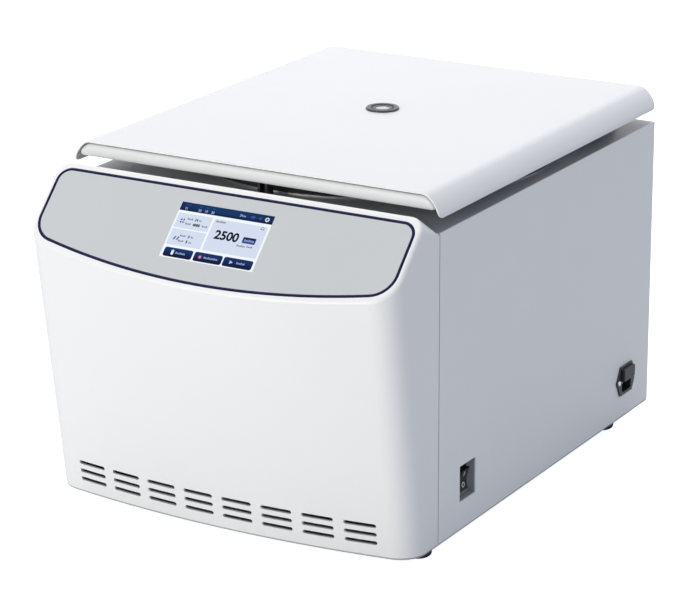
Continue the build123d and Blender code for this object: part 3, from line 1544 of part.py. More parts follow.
# Cooling fan on the rear panel: a square frame with a spider and an axle, and the impeller
with BuildPart() as fan_frame:
    with BuildSketch(Plane.XZ.offset(-rear_inner)):
        with Locations((fan_x, fan_z)):
            RectangleRounded(fan_side, fan_side, fan_corner)
            Circle(fan_bore, mode=Mode.SUBTRACT)
            with GridLocations(fan_hole_spacing, fan_hole_spacing, 2, 2):
                Circle(screw_radius + screw_gap, mode=Mode.SUBTRACT)
    extrude(amount=fan_depth)
    with BuildSketch(Plane.XZ.offset(-rear_inner)):
        with Locations((fan_x, fan_z)):
            Circle(fan_hub)
            for turn in (45, 135):
                Rectangle(2 * fan_bore + spider_width, spider_width, rotation=turn)
    extrude(amount=spider_depth)
    with BuildSketch(Plane.XZ.offset(-rear_inner)):
        with Locations((fan_x, fan_z)):
            Circle(fan_axle)
    extrude(amount=fan_depth - axle_end_gap)
keep(fan_frame, "fan_frame")

impeller_back = rear_inner - spider_depth - impeller_gap
impeller_depth = fan_depth - spider_depth - impeller_gap - impeller_front_gap
blade_start = fan_hub - blade_root_sink
blade_length = fan_bore - fan_tip_gap - blade_start
blade_face = impeller_back - impeller_depth / 2
with BuildPart() as fan_impeller:
    with BuildSketch(Plane.XZ.offset(-impeller_back)):
        with Locations((fan_x, fan_z)):
            Circle(fan_hub)
    extrude(amount=impeller_depth)
    for blade in range(fan_blades):
        blade_turn = math.radians(360.0 * blade / fan_blades)
        outward = Vector(math.cos(blade_turn), 0, math.sin(blade_turn))
        root = Vector(fan_x, blade_face, fan_z) + outward * blade_start
        pitched = Vector(0, 1, 0).rotate(Axis((0, 0, 0), outward), blade_pitch)
        with BuildSketch(Plane(origin=root, x_dir=pitched, z_dir=outward)):
            Rectangle(impeller_depth, blade_sheet)
        extrude(amount=blade_length)
    with BuildSketch(Plane.XZ.offset(-impeller_back)):
        with Locations((fan_x, fan_z)):
            Circle(fan_axle + running_gap)
    extrude(amount=impeller_depth - impeller_cap, mode=Mode.SUBTRACT)
keep(fan_impeller, "fan_impeller")

# Motor drive: a finned box on the base, at the right of the motor
drive_x = inner_half - base_sheet - drive_from_rim - drive_width / 2
drive_y = chamber_y + drive_behind
fin_pitch = (drive_width - fin_sheet) / (fin_count - 1)
with BuildPart() as motor_drive:
    with BuildSketch(Plane.XY.offset(base_top)):
        with Locations((drive_x, drive_y)):
            RectangleRounded(drive_width, drive_length, drive_corner)
    extrude(amount=drive_height)
    with BuildSketch(Plane.XY.offset(base_top + drive_height)):
        with Locations((drive_x, drive_y)):
            with GridLocations(fin_pitch, 0, fin_count, 1):
                Rectangle(fin_sheet, drive_length - 2 * fin_inset)
    extrude(amount=fin_height)
keep(motor_drive, "motor_drive")

# Mains filter: a small metal box on the base, between the switch and the motor drive
filter_x = inner_half - base_sheet - filter_from_rim - filter_width / 2
with BuildPart() as mains_filter:
    with BuildSketch(Plane.XY.offset(base_top)):
        with Locations((filter_x, filter_y)):
            Rectangle(filter_width + 2 * filter_foot, filter_length - 2 * filter_foot_inset)
    extrude(amount=filter_foot_sheet)
    with BuildSketch(Plane.XY.offset(base_top)):
        with Locations((filter_x, filter_y)):
            RectangleRounded(filter_width, filter_length, filter_corner)
    extrude(amount=filter_height)
    for end in (-1, 1):
        tab_plane = Plane.XZ.offset(-filter_y - end * filter_length / 2)
        with BuildSketch(tab_plane):
            with Locations((filter_x, base_top + filter_height / 2)):
                with GridLocations(tab_spacing, 0, 2, 1):
                    Rectangle(tab_width, tab_sheet)
        extrude(amount=-end * tab_length)
keep(mains_filter, "mains_filter")
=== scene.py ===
import bpy
import math
from mathutils import Matrix, Vector


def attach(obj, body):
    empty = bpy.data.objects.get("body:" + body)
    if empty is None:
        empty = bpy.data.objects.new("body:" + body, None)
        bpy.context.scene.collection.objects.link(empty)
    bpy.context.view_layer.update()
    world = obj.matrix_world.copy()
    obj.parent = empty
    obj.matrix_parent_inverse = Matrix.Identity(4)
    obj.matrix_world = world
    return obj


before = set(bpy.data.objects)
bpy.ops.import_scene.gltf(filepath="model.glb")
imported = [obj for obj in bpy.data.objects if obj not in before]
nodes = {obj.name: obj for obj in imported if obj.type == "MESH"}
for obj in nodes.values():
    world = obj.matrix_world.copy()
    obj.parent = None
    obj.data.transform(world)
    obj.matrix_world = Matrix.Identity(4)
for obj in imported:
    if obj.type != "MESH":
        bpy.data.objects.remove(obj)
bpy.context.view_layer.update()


class Wire:  # one socket of a node, so that sums on it read as sums
    def __init__(self, graph, socket):
        self.graph = graph
        self.socket = socket

    def join(self, operation, first, second=0.0):
        return self.graph.node("ShaderNodeMath", {"operation": operation}, {0: first, 1: second})

    def __add__(self, other):
        return self.join("ADD", self, other)

    def __radd__(self, other):
        return self.join("ADD", other, self)

    def __sub__(self, other):
        return self.join("SUBTRACT", self, other)

    def __rsub__(self, other):
        return self.join("SUBTRACT", other, self)

    def __mul__(self, other):
        return self.join("MULTIPLY", self, other)

    def __pow__(self, other):
        return self.join("POWER", self, other)

    def __mod__(self, other):
        return self.join("FLOORED_MODULO", self, other)

    def __abs__(self):
        return self.join("ABSOLUTE", self)

    def rises(self, low, high):  # 0 below low, 1 above high, smooth between
        return self.graph.node(
            "ShaderNodeMapRange", {"interpolation_type": "SMOOTHSTEP"},
            {0: self, 1: low, 2: high, 3: 0.0, 4: 1.0},
        )


class Graph:  # a node tree that is written in expressions
    def __init__(self, tree):
        self.tree = tree

    def node(self, kind, settings=None, sockets=None, output=0):
        made = self.tree.nodes.new(kind)
        for name, value in (settings or {}).items():
            setattr(made, name, value)
        for name, value in (sockets or {}).items():
            self.plug(made.inputs[name], value)
        return Wire(self, made.outputs[output])

    def plug(self, socket, value):
        if isinstance(value, Wire):
            self.tree.links.new(value.socket, socket)
        else:
            socket.default_value = value


class Paint(Graph):  # a material on the Principled shader
    def __init__(self, name, **constants):
        self.material = bpy.data.materials.new(name)
        self.material.use_nodes = True
        super().__init__(self.material.node_tree)
        self.shader = self.tree.nodes["Principled BSDF"]
        self.place = self.node("ShaderNodeTexCoord", output="Object")
        for socket, value in constants.items():
            self.feed(socket.replace("_", " "), value)

    def feed(self, socket, value):
        self.plug(self.shader.inputs[socket], value)

    def moved(self, shift=(0.0, 0.0, 0.0), scale=(1.0, 1.0, 1.0)):  # the place, scaled and then shifted
        return self.node(
            "ShaderNodeMapping", None, {"Vector": self.place, "Location": shift, "Scale": scale}
        )

    def axes(self, place=None):
        split = self.node("ShaderNodeSeparateXYZ", None, {0: place or self.place})
        return [Wire(self, socket) for socket in split.socket.node.outputs]

    def noise(self, scale, detail=2.0, place=None):
        return self.node(
            "ShaderNodeTexNoise", None, {"Vector": place or self.place, "Scale": scale, "Detail": detail}
        )

    def mix(self, factor, first, second):
        return self.node("ShaderNodeMix", {"data_type": "RGBA"}, {0: factor, 6: first, 7: second}, 2)

    def cells(self, scale, place=None, settings=None, output=0):
        return self.node(
            "ShaderNodeTexVoronoi", settings, {"Vector": place or self.place, "Scale": scale}, output
        )

    def tint(self, factor, colour, low, high):  # the colour times low where factor is 0, times high where 1
        self.feed("Base Color", self.mix(factor, shade(colour, low), shade(colour, high)))

    def roughen(self, level, *wear):  # pairs of a pattern from 0 to 1 and how far it spreads the roughness
        for pattern, spread in wear:
            level = level + (pattern - 0.5) * spread
        self.feed("Roughness", level)

    def bump(self, height, depth):
        self.feed("Normal", self.node(
            "ShaderNodeBump", None, {"Height": height, "Distance": depth, "Strength": 1.0}
        ))


def shade(colour, factor):
    return tuple(channel * factor for channel in colour[:3]) + (1.0,)


# finishes: each takes the colour as it should render; scales are to a metre, depths in metres
def moulded(name, colour, roughness=0.4, grain=1400.0, depth=0.00002, spread=0.03, **constants):
    paint = Paint(name, **constants)
    cloud = paint.noise(scale=6.0, detail=3.0)
    fine = paint.noise(scale=grain)
    paint.tint(cloud.rises(0.3, 0.7), colour, 1 - spread, 1 + spread)
    paint.roughen(roughness, (fine, 0.12), (cloud, 0.08))
    paint.bump(fine, depth)
    return paint.material


scratchesAcross = 900.0  # scratches to a metre, across them
brushed = (scratchesAcross, 8.0, scratchesAcross)


def scratched(name, colour, scale=brushed, roughness=0.3, centre=None, spread=0.12):
    paint = Paint(name, Metallic=1.0)  # scratches along the axis of the small scale, or round a centre
    place = paint.moved(scale=scale)
    if centre:
        x, y, z = paint.axes(paint.moved(shift=tuple(-value for value in centre)))
        radius = (x * x + y * y) ** 0.5
        place = paint.node(
            "ShaderNodeCombineXYZ", None, {0: radius * scratchesAcross, 1: z * scratchesAcross}
        )
    scratch = paint.noise(scale=1.0, detail=3.0, place=place)
    cloud = paint.noise(scale=9.0)
    paint.tint(scratch.rises(0.25, 0.75), colour, 1 - spread, 1 + spread)
    paint.roughen(roughness, (scratch, 0.2), (cloud, 0.1))
    paint.bump(scratch, depth=0.00001)
    return paint.material


def plated(name, colour, roughness=0.32):  # zinc flakes
    paint = Paint(name, Metallic=1.0)
    flake = paint.cells(scale=240.0, output=1)
    tone = paint.node("ShaderNodeSeparateColor", None, {0: flake})
    paint.tint(tone, colour, 0.88, 1.1)
    paint.roughen(roughness, (paint.noise(scale=30.0), 0.2), (tone, 0.1))
    return paint.material


def cast(name, colour, roughness=0.55):
    paint = Paint(name, Metallic=0.9)
    grain = paint.noise(scale=700.0, detail=4.0)
    paint.tint(grain.rises(0.3, 0.7), colour, 0.8, 1.1)
    paint.roughen(roughness, (grain, 0.25))
    paint.bump(grain, depth=0.00008)
    return paint.material


def laminated(name, colour, sheets=1000.0):  # thin sheets stacked along Z, so many to a metre
    paint = Paint(name, Metallic=0.8)
    z = paint.axes()[2]
    groove = abs((z * sheets) % 1.0 - 0.5).rises(0.1, 0.4)
    paint.tint(groove, colour, 1.15, 0.6)
    paint.roughen(0.42, (paint.noise(scale=60.0), 0.2))
    paint.bump(groove, depth=0.0001)
    return paint.material


def circuit(name, lacquer, copper, solder):
    paint = Paint(name, Coat_Weight=0.5)
    lane = paint.cells(scale=90.0, place=paint.moved(scale=(1, 0, 1)), settings={"distance": "CHEBYCHEV"})
    track = abs((lane * 6.0) % 1.0 - 0.5).rises(0.3, 0.36)
    pads = paint.cells(scale=160.0).rises(0.2, 0.24)
    paint.feed("Base Color", paint.mix(pads, solder, paint.mix(track, lacquer, copper)))
    paint.feed("Roughness", 0.3 + track * 0.2)
    paint.bump(track, depth=0.00003)
    return paint.material


def rubbery(name, colour):
    paint = Paint(name)
    dust = paint.noise(scale=40.0, detail=5.0)
    fine = paint.noise(scale=1800.0)
    paint.tint(dust.rises(0.45, 0.75), colour, 1.0, 1.8)
    paint.roughen(0.68, (fine, 0.3))
    paint.bump(fine, depth=0.00005)
    return paint.material


def lit(name, colour, deep=None, low=0.0, high=1.0, reach=1.0):
    # a shown colour: deep at height low, and colour at height high and within reach of the middle
    paint = Paint(name, Roughness=0.3, Emission_Strength=0.62, Specular_IOR_Level=0.03)
    x, y, z = paint.axes()
    bright = z.rises(low, high) * (1 - abs(x).rises(0.2 * reach, reach) * 0.6)
    shown = paint.mix(bright, deep or colour, colour)
    paint.feed("Base Color", paint.mix(0.35, (0, 0, 0, 1), shown))
    paint.feed("Emission Color", shown)
    return paint.material


whiteCase = moulded("whiteCase", (0.80, 0.81, 0.82), 0.42, 900.0, 0.00003, 0.008)
whiteCover = moulded(
    "whiteCover", (0.81, 0.81, 0.815), 0.36, 1500.0, 0.00001, 0.006, Coat_Weight=0.1
)
# the lid's white is a lighter copy of the case's white: painted light on the lid's top and roll
lidPaint = moulded("lidPaint", (0.845, 0.853, 0.865), 0.2, 1100.0, 0.00002, 0.006)
greyDeck = moulded("greyDeck", (0.385, 0.40, 0.425), 0.34, 800.0, 0.00003)
greyLiner = moulded("greyLiner", (0.70, 0.71, 0.72), 0.4, 1300.0, 0.00002, 0.01)
panelFilm = moulded("panelFilm", (0.525, 0.543, 0.56), 0.45, 2200.0, 0.00001, 0.008)
zincSteel = plated("zincSteel", (0.62, 0.62, 0.60))
# dark steel: on the front bulkhead, painted shade seen through the slots in front of it; on the lock striker,
# partly its blackened finish and partly painted shade under the lid
darkSteel = plated("darkSteel", (0.09, 0.09, 0.095), 0.4)
brightSteel = scratched(
    "brightSteel", (0.72, 0.73, 0.74), (scratchesAcross, scratchesAcross, 8.0), 0.22
)
bowlSteel = scratched("bowlSteel", (0.70, 0.71, 0.72), roughness=0.26, centre=(0, 0.053, 0))
chromeSteel = scratched("chromeSteel", (0.80, 0.81, 0.82), (60.0, 60.0, 60.0), 0.1, spread=0.03)
blackRubber = rubbery("blackRubber", (0.018, 0.018, 0.019))
anodised = moulded("anodised", (0.52, 0.53, 0.55), 0.34, 1600.0, Metallic=0.9)
castAlloy = cast("castAlloy", (0.55, 0.55, 0.56))
motorIron = laminated("motorIron", (0.30, 0.30, 0.31))
greenBoard = circuit(
    "greenBoard", lacquer=(0.008, 0.075, 0.03, 1), copper=(0.02, 0.17, 0.07, 1), solder=(0.6, 0.55, 0.4, 1)
)
darkPlastic = moulded("darkPlastic", (0.022, 0.022, 0.024), 0.38, 1200.0, 0.00003, 0.15)
recessPlastic = moulded("recessPlastic", (0.33, 0.345, 0.355), 0.45, 1200.0, 0.00003)
# grey of the lid's bead: painted shadow under the front edge of the lid's sheet
greyBead = rubbery("greyBead", (0.17, 0.17, 0.18))
portPlastic = moulded("portPlastic", (0.03, 0.04, 0.052), 0.2, 1200.0, spread=0.1)
satinBlack = moulded(
    "satinBlack", (0.009, 0.009, 0.01), 0.5, 1500.0, spread=0.2, Specular_IOR_Level=0.2
)
navyInk = moulded(
    "navyInk", (0.004, 0.007, 0.045), 0.55, 2000.0, 0.00001, 0.1, Specular_IOR_Level=0.12
)
whiteMark = moulded("whiteMark", (0.75, 0.76, 0.77), 0.5, 2000.0, 0.00001, 0.02)
screenGlass = lit("screenGlass", (0.88, 0.94, 1.0, 1))
clearLens = moulded("clearLens", (0.86, 0.88, 0.89), 0.1, 30.0, Transmission_Weight=0.25)

finishes = {
    whiteCase: "left_side_panel right_side_panel rear_panel",
    lidPaint: "lid_shell",
    whiteCover: "front_cover",
    greyDeck: "deck_plate base_tray motor_plate",
    greyLiner: "lid_liner sealing_disc",
    panelFilm: "control_overlay",
    zincSteel: "screen_bracket frame_posts hinge_brackets lid_hinge_arms lock_housing"
    " cover_screws rear_screws lid_screws mains_filter",
    darkSteel: "lock_striker front_bulkhead",
    brightSteel: "hinge_springs drive_shaft bucket_pins rotor_nut motor_bearings lock_bolt guard_ring",
    bowlSteel: "chamber_bowl",
    chromeSteel: "hinge_pins inlet_screws inlet_pins",
    blackRubber: "rubber_feet chamber_gasket motor_dampers shaft_boot",
    anodised: "rotor_yoke left_bucket right_bucket",
    castAlloy: "motor_endshield motor_housing motor_drive",
    motorIron: "motor_stator motor_core",
    greenBoard: "control_board",
    portPlastic: "port_ring",
    satinBlack: "power_rocker switch_housing",
    darkPlastic: "port_nut power_inlet fuse_drawer fan_frame fan_impeller lock_solenoid",
    recessPlastic: "switch_recess",
    screenGlass: "touch_screen",
    clearLens: "port_lens",
}
painted = []
for material, names in finishes.items():
    for name in names.split():
        nodes[name].data.materials.clear()
        nodes[name].data.materials.append(material)
        painted.append(name)
print("finishes on", len(painted), "nodes, left:", sorted(set(nodes) - set(painted)))

# the control panel's plane: x across, y up the slope, z out of it, in millimetres
panel = {"ridge": (0.0, -0.2284, 0.3801), "slope": math.radians(45.5)}
millimetres = Matrix.Scale(0.001, 4)
onPanel = Matrix.Translation(panel["ridge"]) @ Matrix.Rotation(panel["slope"], 4, "X") @ millimetres


def polar(centre, radius, turn):
    return (centre[0] + radius * math.cos(turn), centre[1] + radius * math.sin(turn))


def arc(centre, radius, start, end, count):  # points on an arc, angles in degrees
    steps = [math.radians(start + (end - start) * step / (count - 1)) for step in range(count)]
    return [polar(centre, radius, turn) for turn in steps]


def block(left, right, top, bottom, corner, count=6):  # a round-cornered rectangle, heights down the slope
    points = []
    for x, y, start in (
        (right - corner, -top - corner, 0), (left + corner, -top - corner, 90),
        (left + corner, -bottom + corner, 180), (right - corner, -bottom + corner, 270),
    ):
        points += arc((x, y), corner, start, start + 90, count)
    return points


def ring(centre, radius, count):
    return arc(centre, radius, 0, 360 * (count - 1) / count, count)


def plainMesh(holder):  # the mesh that an object comes to, which is then removed
    bpy.context.view_layer.update()
    final = holder.evaluated_get(bpy.context.evaluated_depsgraph_get())
    mesh = bpy.data.meshes.new_from_object(final)
    holder.modifiers.clear()
    bpy.data.objects.remove(holder)
    return mesh


capShare = 0.7  # a figure's height over its type size


class Form:  # corners and faces gathered for one piece
    def __init__(self, name, matrix=Matrix()):
        self.name = name
        self.matrix = matrix
        self.points = []
        self.faces = []

    def slab(self, outline, low, high):  # a closed plate on an outline that turns left
        first, count = len(self.points), len(outline)
        self.points += [(x, y, z) for z in (low, high) for x, y in outline]
        self.faces.append([first + count + index for index in range(count)])
        self.faces.append([first + index for index in reversed(range(count))])
        for index in range(count):
            after = (index + 1) % count
            self.faces.append([first + index, first + after, first + count + after, first + count + index])

    def hoop(self, outer, inner, low, high):  # a closed plate between two outlines of the same count
        first, count = len(self.points), len(outer)
        levels = ((outer, low), (outer, high), (inner, high), (inner, low))
        self.points += [(x, y, z) for outline, z in levels for x, y in outline]
        for level in range(4):
            here, there = first + level * count, first + (level + 1) % 4 * count
            for index in range(count):
                after = (index + 1) % count
                self.faces.append([here + index, here + after, there + after, there + index])

    def figures(self, text, left, base, height, width, weight, low, high):  # numbers on a base line
        curve = bpy.data.curves.new(self.name, "FONT")
        curve.body = text
        curve.size = height / capShare
        curve.offset = weight
        curve.extrude = (high - low) / 2
        curve.resolution_u = 4
        holder = bpy.data.objects.new(self.name, curve)
        bpy.context.scene.collection.objects.link(holder)
        mesh = plainMesh(holder)
        first = len(self.points)
        middle = (low + high) / 2
        self.points += [
            (left + point.co.x * width, point.co.y - base, middle + point.co.z) for point in mesh.vertices
        ]
        self.faces += [[first + index for index in face.vertices] for face in mesh.polygons]

    def made(self, material, body, slot):
        mesh = bpy.data.meshes.new(self.name)
        mesh.from_pydata([self.matrix @ Vector(point) for point in self.points], [], self.faces)
        return placed(self.name, mesh, material, body)


def placed(name, mesh, material, body):
    mesh.materials.clear()
    mesh.materials.append(material)
    piece = bpy.data.objects.new(name, mesh)
    bpy.context.scene.collection.objects.link(piece)
    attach(piece, body)
    return piece


class Growth(Graph):  # a geometry tree with named inputs that grows on a base mesh
    def __init__(self, name, settings, material):
        super().__init__(bpy.data.node_groups.new(name, "GeometryNodeTree"))
        self.name = name
        self.values = {**settings, "finish": material}
        self.tree.interface.new_socket("Geometry", in_out="INPUT", socket_type="NodeSocketGeometry")
        self.tree.interface.new_socket("Geometry", in_out="OUTPUT", socket_type="NodeSocketGeometry")
        for key, value in self.values.items():
            kind = "NodeSocketFloat" if isinstance(value, float) else "NodeSocketMaterial"
            self.tree.interface.new_socket(key, in_out="INPUT", socket_type=kind)
        self.entry = self.tree.nodes.new("NodeGroupInput")
        self.base = self.given("Geometry")

    def given(self, name):
        return Wire(self, self.entry.outputs[name])

    def grown(self, shape, points, edges, matrix=Matrix()):
        whole = self.node("GeometryNodeRealizeInstances", None, {0: shape})
        whole = self.node(
            "GeometryNodeSetMaterial", None, {"Geometry": whole, "Material": self.given("finish")}
        )
        leave = self.tree.nodes.new("NodeGroupOutput")
        self.plug(leave.inputs[0], whole)
        start = bpy.data.meshes.new(self.name)
        start.from_pydata(points, edges, [])
        holder = bpy.data.objects.new(self.name, start)
        bpy.context.scene.collection.objects.link(holder)
        modifier = holder.modifiers.new("growth", "NODES")
        modifier.node_group = self.tree
        for item in self.tree.interface.items_tree:
            if item.name in self.values:
                modifier[item.identifier] = self.values[item.name]
        mesh = plainMesh(holder)
        mesh.transform(matrix)
        return mesh


def strip(name, settings, material, points, matrix, closed=False):  # a band swept along a path
    growth = Growth(name, settings, material)
    path = growth.node("GeometryNodeMeshToCurve", None, {0: growth.base})
    if closed:
        path = growth.node("GeometryNodeSetCurveNormal", {"mode": "Z_UP"}, {0: path})
    band = growth.node(
        "GeometryNodeCurvePrimitiveQuadrilateral", None,
        {0: growth.given("width"), 1: growth.given("thickness")},
    )
    swept = growth.node("GeometryNodeCurveToMesh", None, {0: path, 1: band, "Fill Caps": not closed})
    count = len(points)
    edges = [(index, (index + 1) % count) for index in range(count if closed else count - 1)]
    return growth.grown(swept, points, edges, matrix)


# the navy line round the control panel
stripe = {
    "half": 217.7, "top": 9.5, "topCorner": 15.0, "bow": 916.0, "bottom": 116.6, "lowCorner": 28.0,
    "width": 3.3, "thickness": 0.1, "topSteps": 14, "lowSteps": 18, "bowSteps": 60,
}
bowCentre = stripe["bow"] - stripe["bottom"]
cornerX = stripe["half"] - stripe["lowCorner"]
cornerReach = stripe["bow"] - stripe["lowCorner"]
cornerY = bowCentre - math.sqrt(cornerReach**2 - cornerX**2)
cornerTurn = math.degrees(math.asin(cornerX / cornerReach))
topX, topY = stripe["half"] - stripe["topCorner"], -stripe["top"] - stripe["topCorner"]
stripePath = arc((topX, topY), stripe["topCorner"], 0, 90, stripe["topSteps"])
stripePath += arc((-topX, topY), stripe["topCorner"], 90, 180, stripe["topSteps"])
stripePath += arc((-cornerX, cornerY), stripe["lowCorner"], 180, 270 - cornerTurn, stripe["lowSteps"])
bow = arc((0, bowCentre), stripe["bow"], 270 - cornerTurn, 270 + cornerTurn, stripe["bowSteps"])
stripePath += bow[1:-1]
stripePath += arc((cornerX, cornerY), stripe["lowCorner"], 270 + cornerTurn, 360, stripe["lowSteps"])
sizes = {"width": stripe["width"], "thickness": stripe["thickness"]}
stripeMesh = strip(
    "panelStripe", sizes, navyInk, [(x, y, 0) for x, y in stripePath], onPanel, closed=True
)
placed("panelStripe", stripeMesh, navyInk, "base")
print("stripe:", len(stripeMesh.vertices), "corners")

# a black strip in the seam between the cover and the case: painted shade standing in for the shadow inside
# the gap
seam = {
    "half": 223.2, "bottom": 20.0, "top": 355.0, "corner": 4.0, "middle": -201.7, "width": 1.4,
    "steps": 8,
}
seamX, seamZ = seam["half"] - seam["corner"], seam["top"] - seam["corner"]
seamPath = [(seam["half"], seam["bottom"])]
seamPath += arc((seamX, seamZ), seam["corner"], 0, 90, seam["steps"])
seamPath += arc((-seamX, seamZ), seam["corner"], 90, 180, seam["steps"])
seamPath += [(-seam["half"], seam["bottom"])]
sizes = {"width": seam["width"], "thickness": seam["width"]}
seamPoints = [(x, seam["middle"], z) for x, z in seamPath]
seamShadowMesh = strip("seamStrip", sizes, blackRubber, seamPoints, millimetres)
placed("seamStrip", seamShadowMesh, blackRubber, "base")
print("seam strip:", len(seamShadowMesh.vertices), "corners")

# a dark bead between the lid's sheet and its liner, along the front of the roll: painted shadow under the
# sheet's front edge
shadowBead = {
    "bendX": 204.05, "bendZ": 382.1, "flankX": 193.52, "flankZ": 368.12, "bend": 12.35, "flank": 29.85,
    "turn": 37, "last": 66, "middle": -200.9, "width": 1.3, "steps": 12,
}
bendStart = 90 - shadowBead["turn"]
shadowBeadPath = arc((shadowBead["flankX"], shadowBead["flankZ"]), shadowBead["flank"], 90 - shadowBead["last"], bendStart, shadowBead["steps"])
shadowBeadPath += arc((shadowBead["bendX"], shadowBead["bendZ"]), shadowBead["bend"], bendStart, 90, shadowBead["steps"])[1:]
shadowBeadPath += [(-x, z) for x, z in reversed(shadowBeadPath)]
sizes = {"width": shadowBead["width"], "thickness": shadowBead["width"]}
shadowBeadPoints = [(x, shadowBead["middle"], z) for x, z in shadowBeadPath]
shadowBeadMesh = strip("lidBead", sizes, greyBead, shadowBeadPoints, millimetres)
placed("lidBead", shadowBeadMesh, greyBead, "lid")
print("lid bead:", len(shadowBeadMesh.vertices), "corners")

# the rounded moulding on the front of the lid's liner
moulding = {
    "cornerX": 214.14, "cornerZ": 383.6, "corner": 4.5, "topGap": 1.4, "face": -199.0, "back": -196.0,
    "depth": 3.6, "power": 1.95, "sideGap": 0.15, "steep": 3.4, "least": 0.5, "fullHeight": 10.0,
    "columns": 90, "rows": 24,
}


def mouldingEnds(x):  # lowest and highest z of the moulding at x
    overCorner = max(0.0, x - moulding["cornerX"])
    drop = math.sqrt(max(0.0, moulding["corner"]**2 - overCorner**2))
    low = moulding["cornerZ"] - drop
    if x < shadowBead["bendX"]:
        high = shadowBead["bendZ"] + shadowBead["bend"]
    elif x < shadowBead["bendX"] + shadowBead["bend"] * math.sin(math.radians(shadowBead["turn"])):
        high = shadowBead["bendZ"] + math.sqrt(shadowBead["bend"]**2 - (x - shadowBead["bendX"])**2)
    else:
        high = shadowBead["flankZ"] + math.sqrt(shadowBead["flank"]**2 - (x - shadowBead["flankX"])**2)
    side = moulding["cornerZ"] + drop if overCorner > moulding["steep"] else high
    return low, max(low + moulding["least"], min(high - moulding["topGap"] / 2, side))


form = Form("lidMoulding", millimetres)
reach = moulding["cornerX"] + moulding["corner"] - moulding["sideGap"]
rows, columns = moulding["rows"], moulding["columns"]
for column in range(columns + 1):
    x = reach * math.sin(math.pi * (column / columns - 0.5))
    low, high = mouldingEnds(abs(x))
    middle, half = (low + high) / 2, (high - low) / 2
    for row in range(rows + 1):
        turn = math.pi * (row / rows - 0.5)
        rise = math.copysign(abs(math.sin(turn)) ** (2 / moulding["power"]), math.sin(turn))
        depth = moulding["depth"] * min(1.0, (high - low) / moulding["fullHeight"])
        out = abs(math.cos(turn)) ** (2 / moulding["power"]) * depth
        form.points.append((x, moulding["face"] - out, middle + half * rise))
    form.points += [(x, moulding["back"], high), (x, moulding["back"], low)]
count = rows + 3
for column in range(columns):
    for row in range(count):
        here, after = column * count + row, column * count + (row + 1) % count
        form.faces.append([here, here + count, after + count, after])
form.faces.append(list(range(count)))
form.faces.append([columns * count + row for row in reversed(range(count))])
mouldingPiece = form.made(greyLiner, "lid", "grey_liner")
mouldingPiece.data.shade_smooth()
print("lid moulding:", len(mouldingPiece.data.vertices), "corners")

# the frosted window and its dark bezel at the top of the port
port = {
    "middle": (0, 75), "bezel": 11.0, "window": 8.2, "gap": 0.05, "low": 395.2, "glass": 397.6,
    "high": 398.3, "sides": 64,
}
form = Form("portBezel", millimetres)
bezel, window, pane = [
    ring(port["middle"], radius, port["sides"])
    for radius in (port["bezel"], port["window"], port["window"] - port["gap"])
]
form.hoop(bezel, window, port["low"], port["high"])
form.made(portPlastic, "lid", "dark_plastic")
form = Form("portWindow", millimetres)
form.slab(pane, port["low"], port["glass"])
form.made(clearLens, "lid", "clear_lens")
print("port: bezel and window")

# the marks on the rocker: a bar for on and a ring for off
rocker = {
    "axis": (0.215, -0.13725, 0.06775), "tilt": 6.0, "depth": 5.3, "rise": 6.25, "lean": 10.9,
    "markReach": 3.0, "ringHole": 2.1, "barHalf": 0.6, "barCorner": 0.3, "sunk": -0.3, "raised": 0.12,
    "sides": 40,
}
facing = Matrix(((0, 0, 1, 0), (1, 0, 0, 0), (0, 1, 0, 0), (0, 0, 0, 1)))
tilt = Matrix.Rotation(math.radians(rocker["tilt"]), 4, "X")
onRocker = Matrix.Translation(rocker["axis"]) @ facing @ tilt @ millimetres
for name, side in (("rockerOnMark", 1), ("rockerOffMark", -1)):
    lean = Matrix.Rotation(math.radians(side * rocker["lean"]), 4, "X")
    form = Form(name, onRocker @ Matrix.Translation((0, side * rocker["rise"], rocker["depth"])) @ lean)
    half, reach = rocker["barHalf"], rocker["markReach"]
    if side > 0:
        bar = block(-half, half, -reach, reach, rocker["barCorner"], 3)
        form.slab(bar, rocker["sunk"], rocker["raised"])
    else:
        outer, inner = [ring((0, 0), radius, rocker["sides"]) for radius in (reach, rocker["ringHole"])]
        form.hoop(outer, inner, rocker["sunk"], rocker["raised"])
    form.made(whiteMark, "power_rocker", "white_cover_plastic")
print("marks on the rocker")

# what the screen shows, in layers above its glass
layers = {"sunk": -0.12, "glass": -0.1, "tile": -0.08, "mark": -0.06, "top": -0.04, "over": -0.03}
tints = {  # what lit() takes, and the layer that the tint's plates and icons rise to
    "screenBar": ({
        "colour": (0.008, 0.038, 0.133, 1), "deep": (0.005, 0.013, 0.053, 1),
        "low": 0.3545, "high": 0.3575, "reach": 0.07,
    }, "tile", None),
    "screenNavy": ({
        "colour": (0.009, 0.032, 0.135, 1), "deep": (0.006, 0.011, 0.05, 1),
        "low": 0.3165, "high": 0.3215,
    }, "tile", None),
    "screenPale": ({"colour": (0.665, 0.73, 0.87, 1)}, "tile", None),
    "screenWhite": ({"colour": (0.86, 0.90, 1.0, 1)}, "tile", "top"),
    "screenSoft": ({"colour": (0.35, 0.42, 0.62, 1)}, "top", None),
    "screenBlack": ({"colour": (0.004, 0.005, 0.02, 1)}, "tile", None),
    "screenGrey": ({"colour": (0.12, 0.14, 0.20, 1)}, "mark", "mark"),
    "screenBlue": ({
        "colour": (0.002, 0.011, 0.09, 1), "deep": (0.05, 0.105, 0.34, 1),
        "low": 0.336, "high": 0.3412,
    }, "mark", None),
    "screenDim": ({"colour": (0.04, 0.09, 0.32, 1)}, "mark", "mark"),
    "screenRed": ({"colour": (0.26, 0.06, 0.17, 1)}, None, "mark"),
    "screenPink": ({"colour": (0.77, 0.41, 0.72, 1)}, None, "over"),
    "screenSky": ({"colour": (0.41, 0.55, 1.0, 1)}, None, "top"),
}
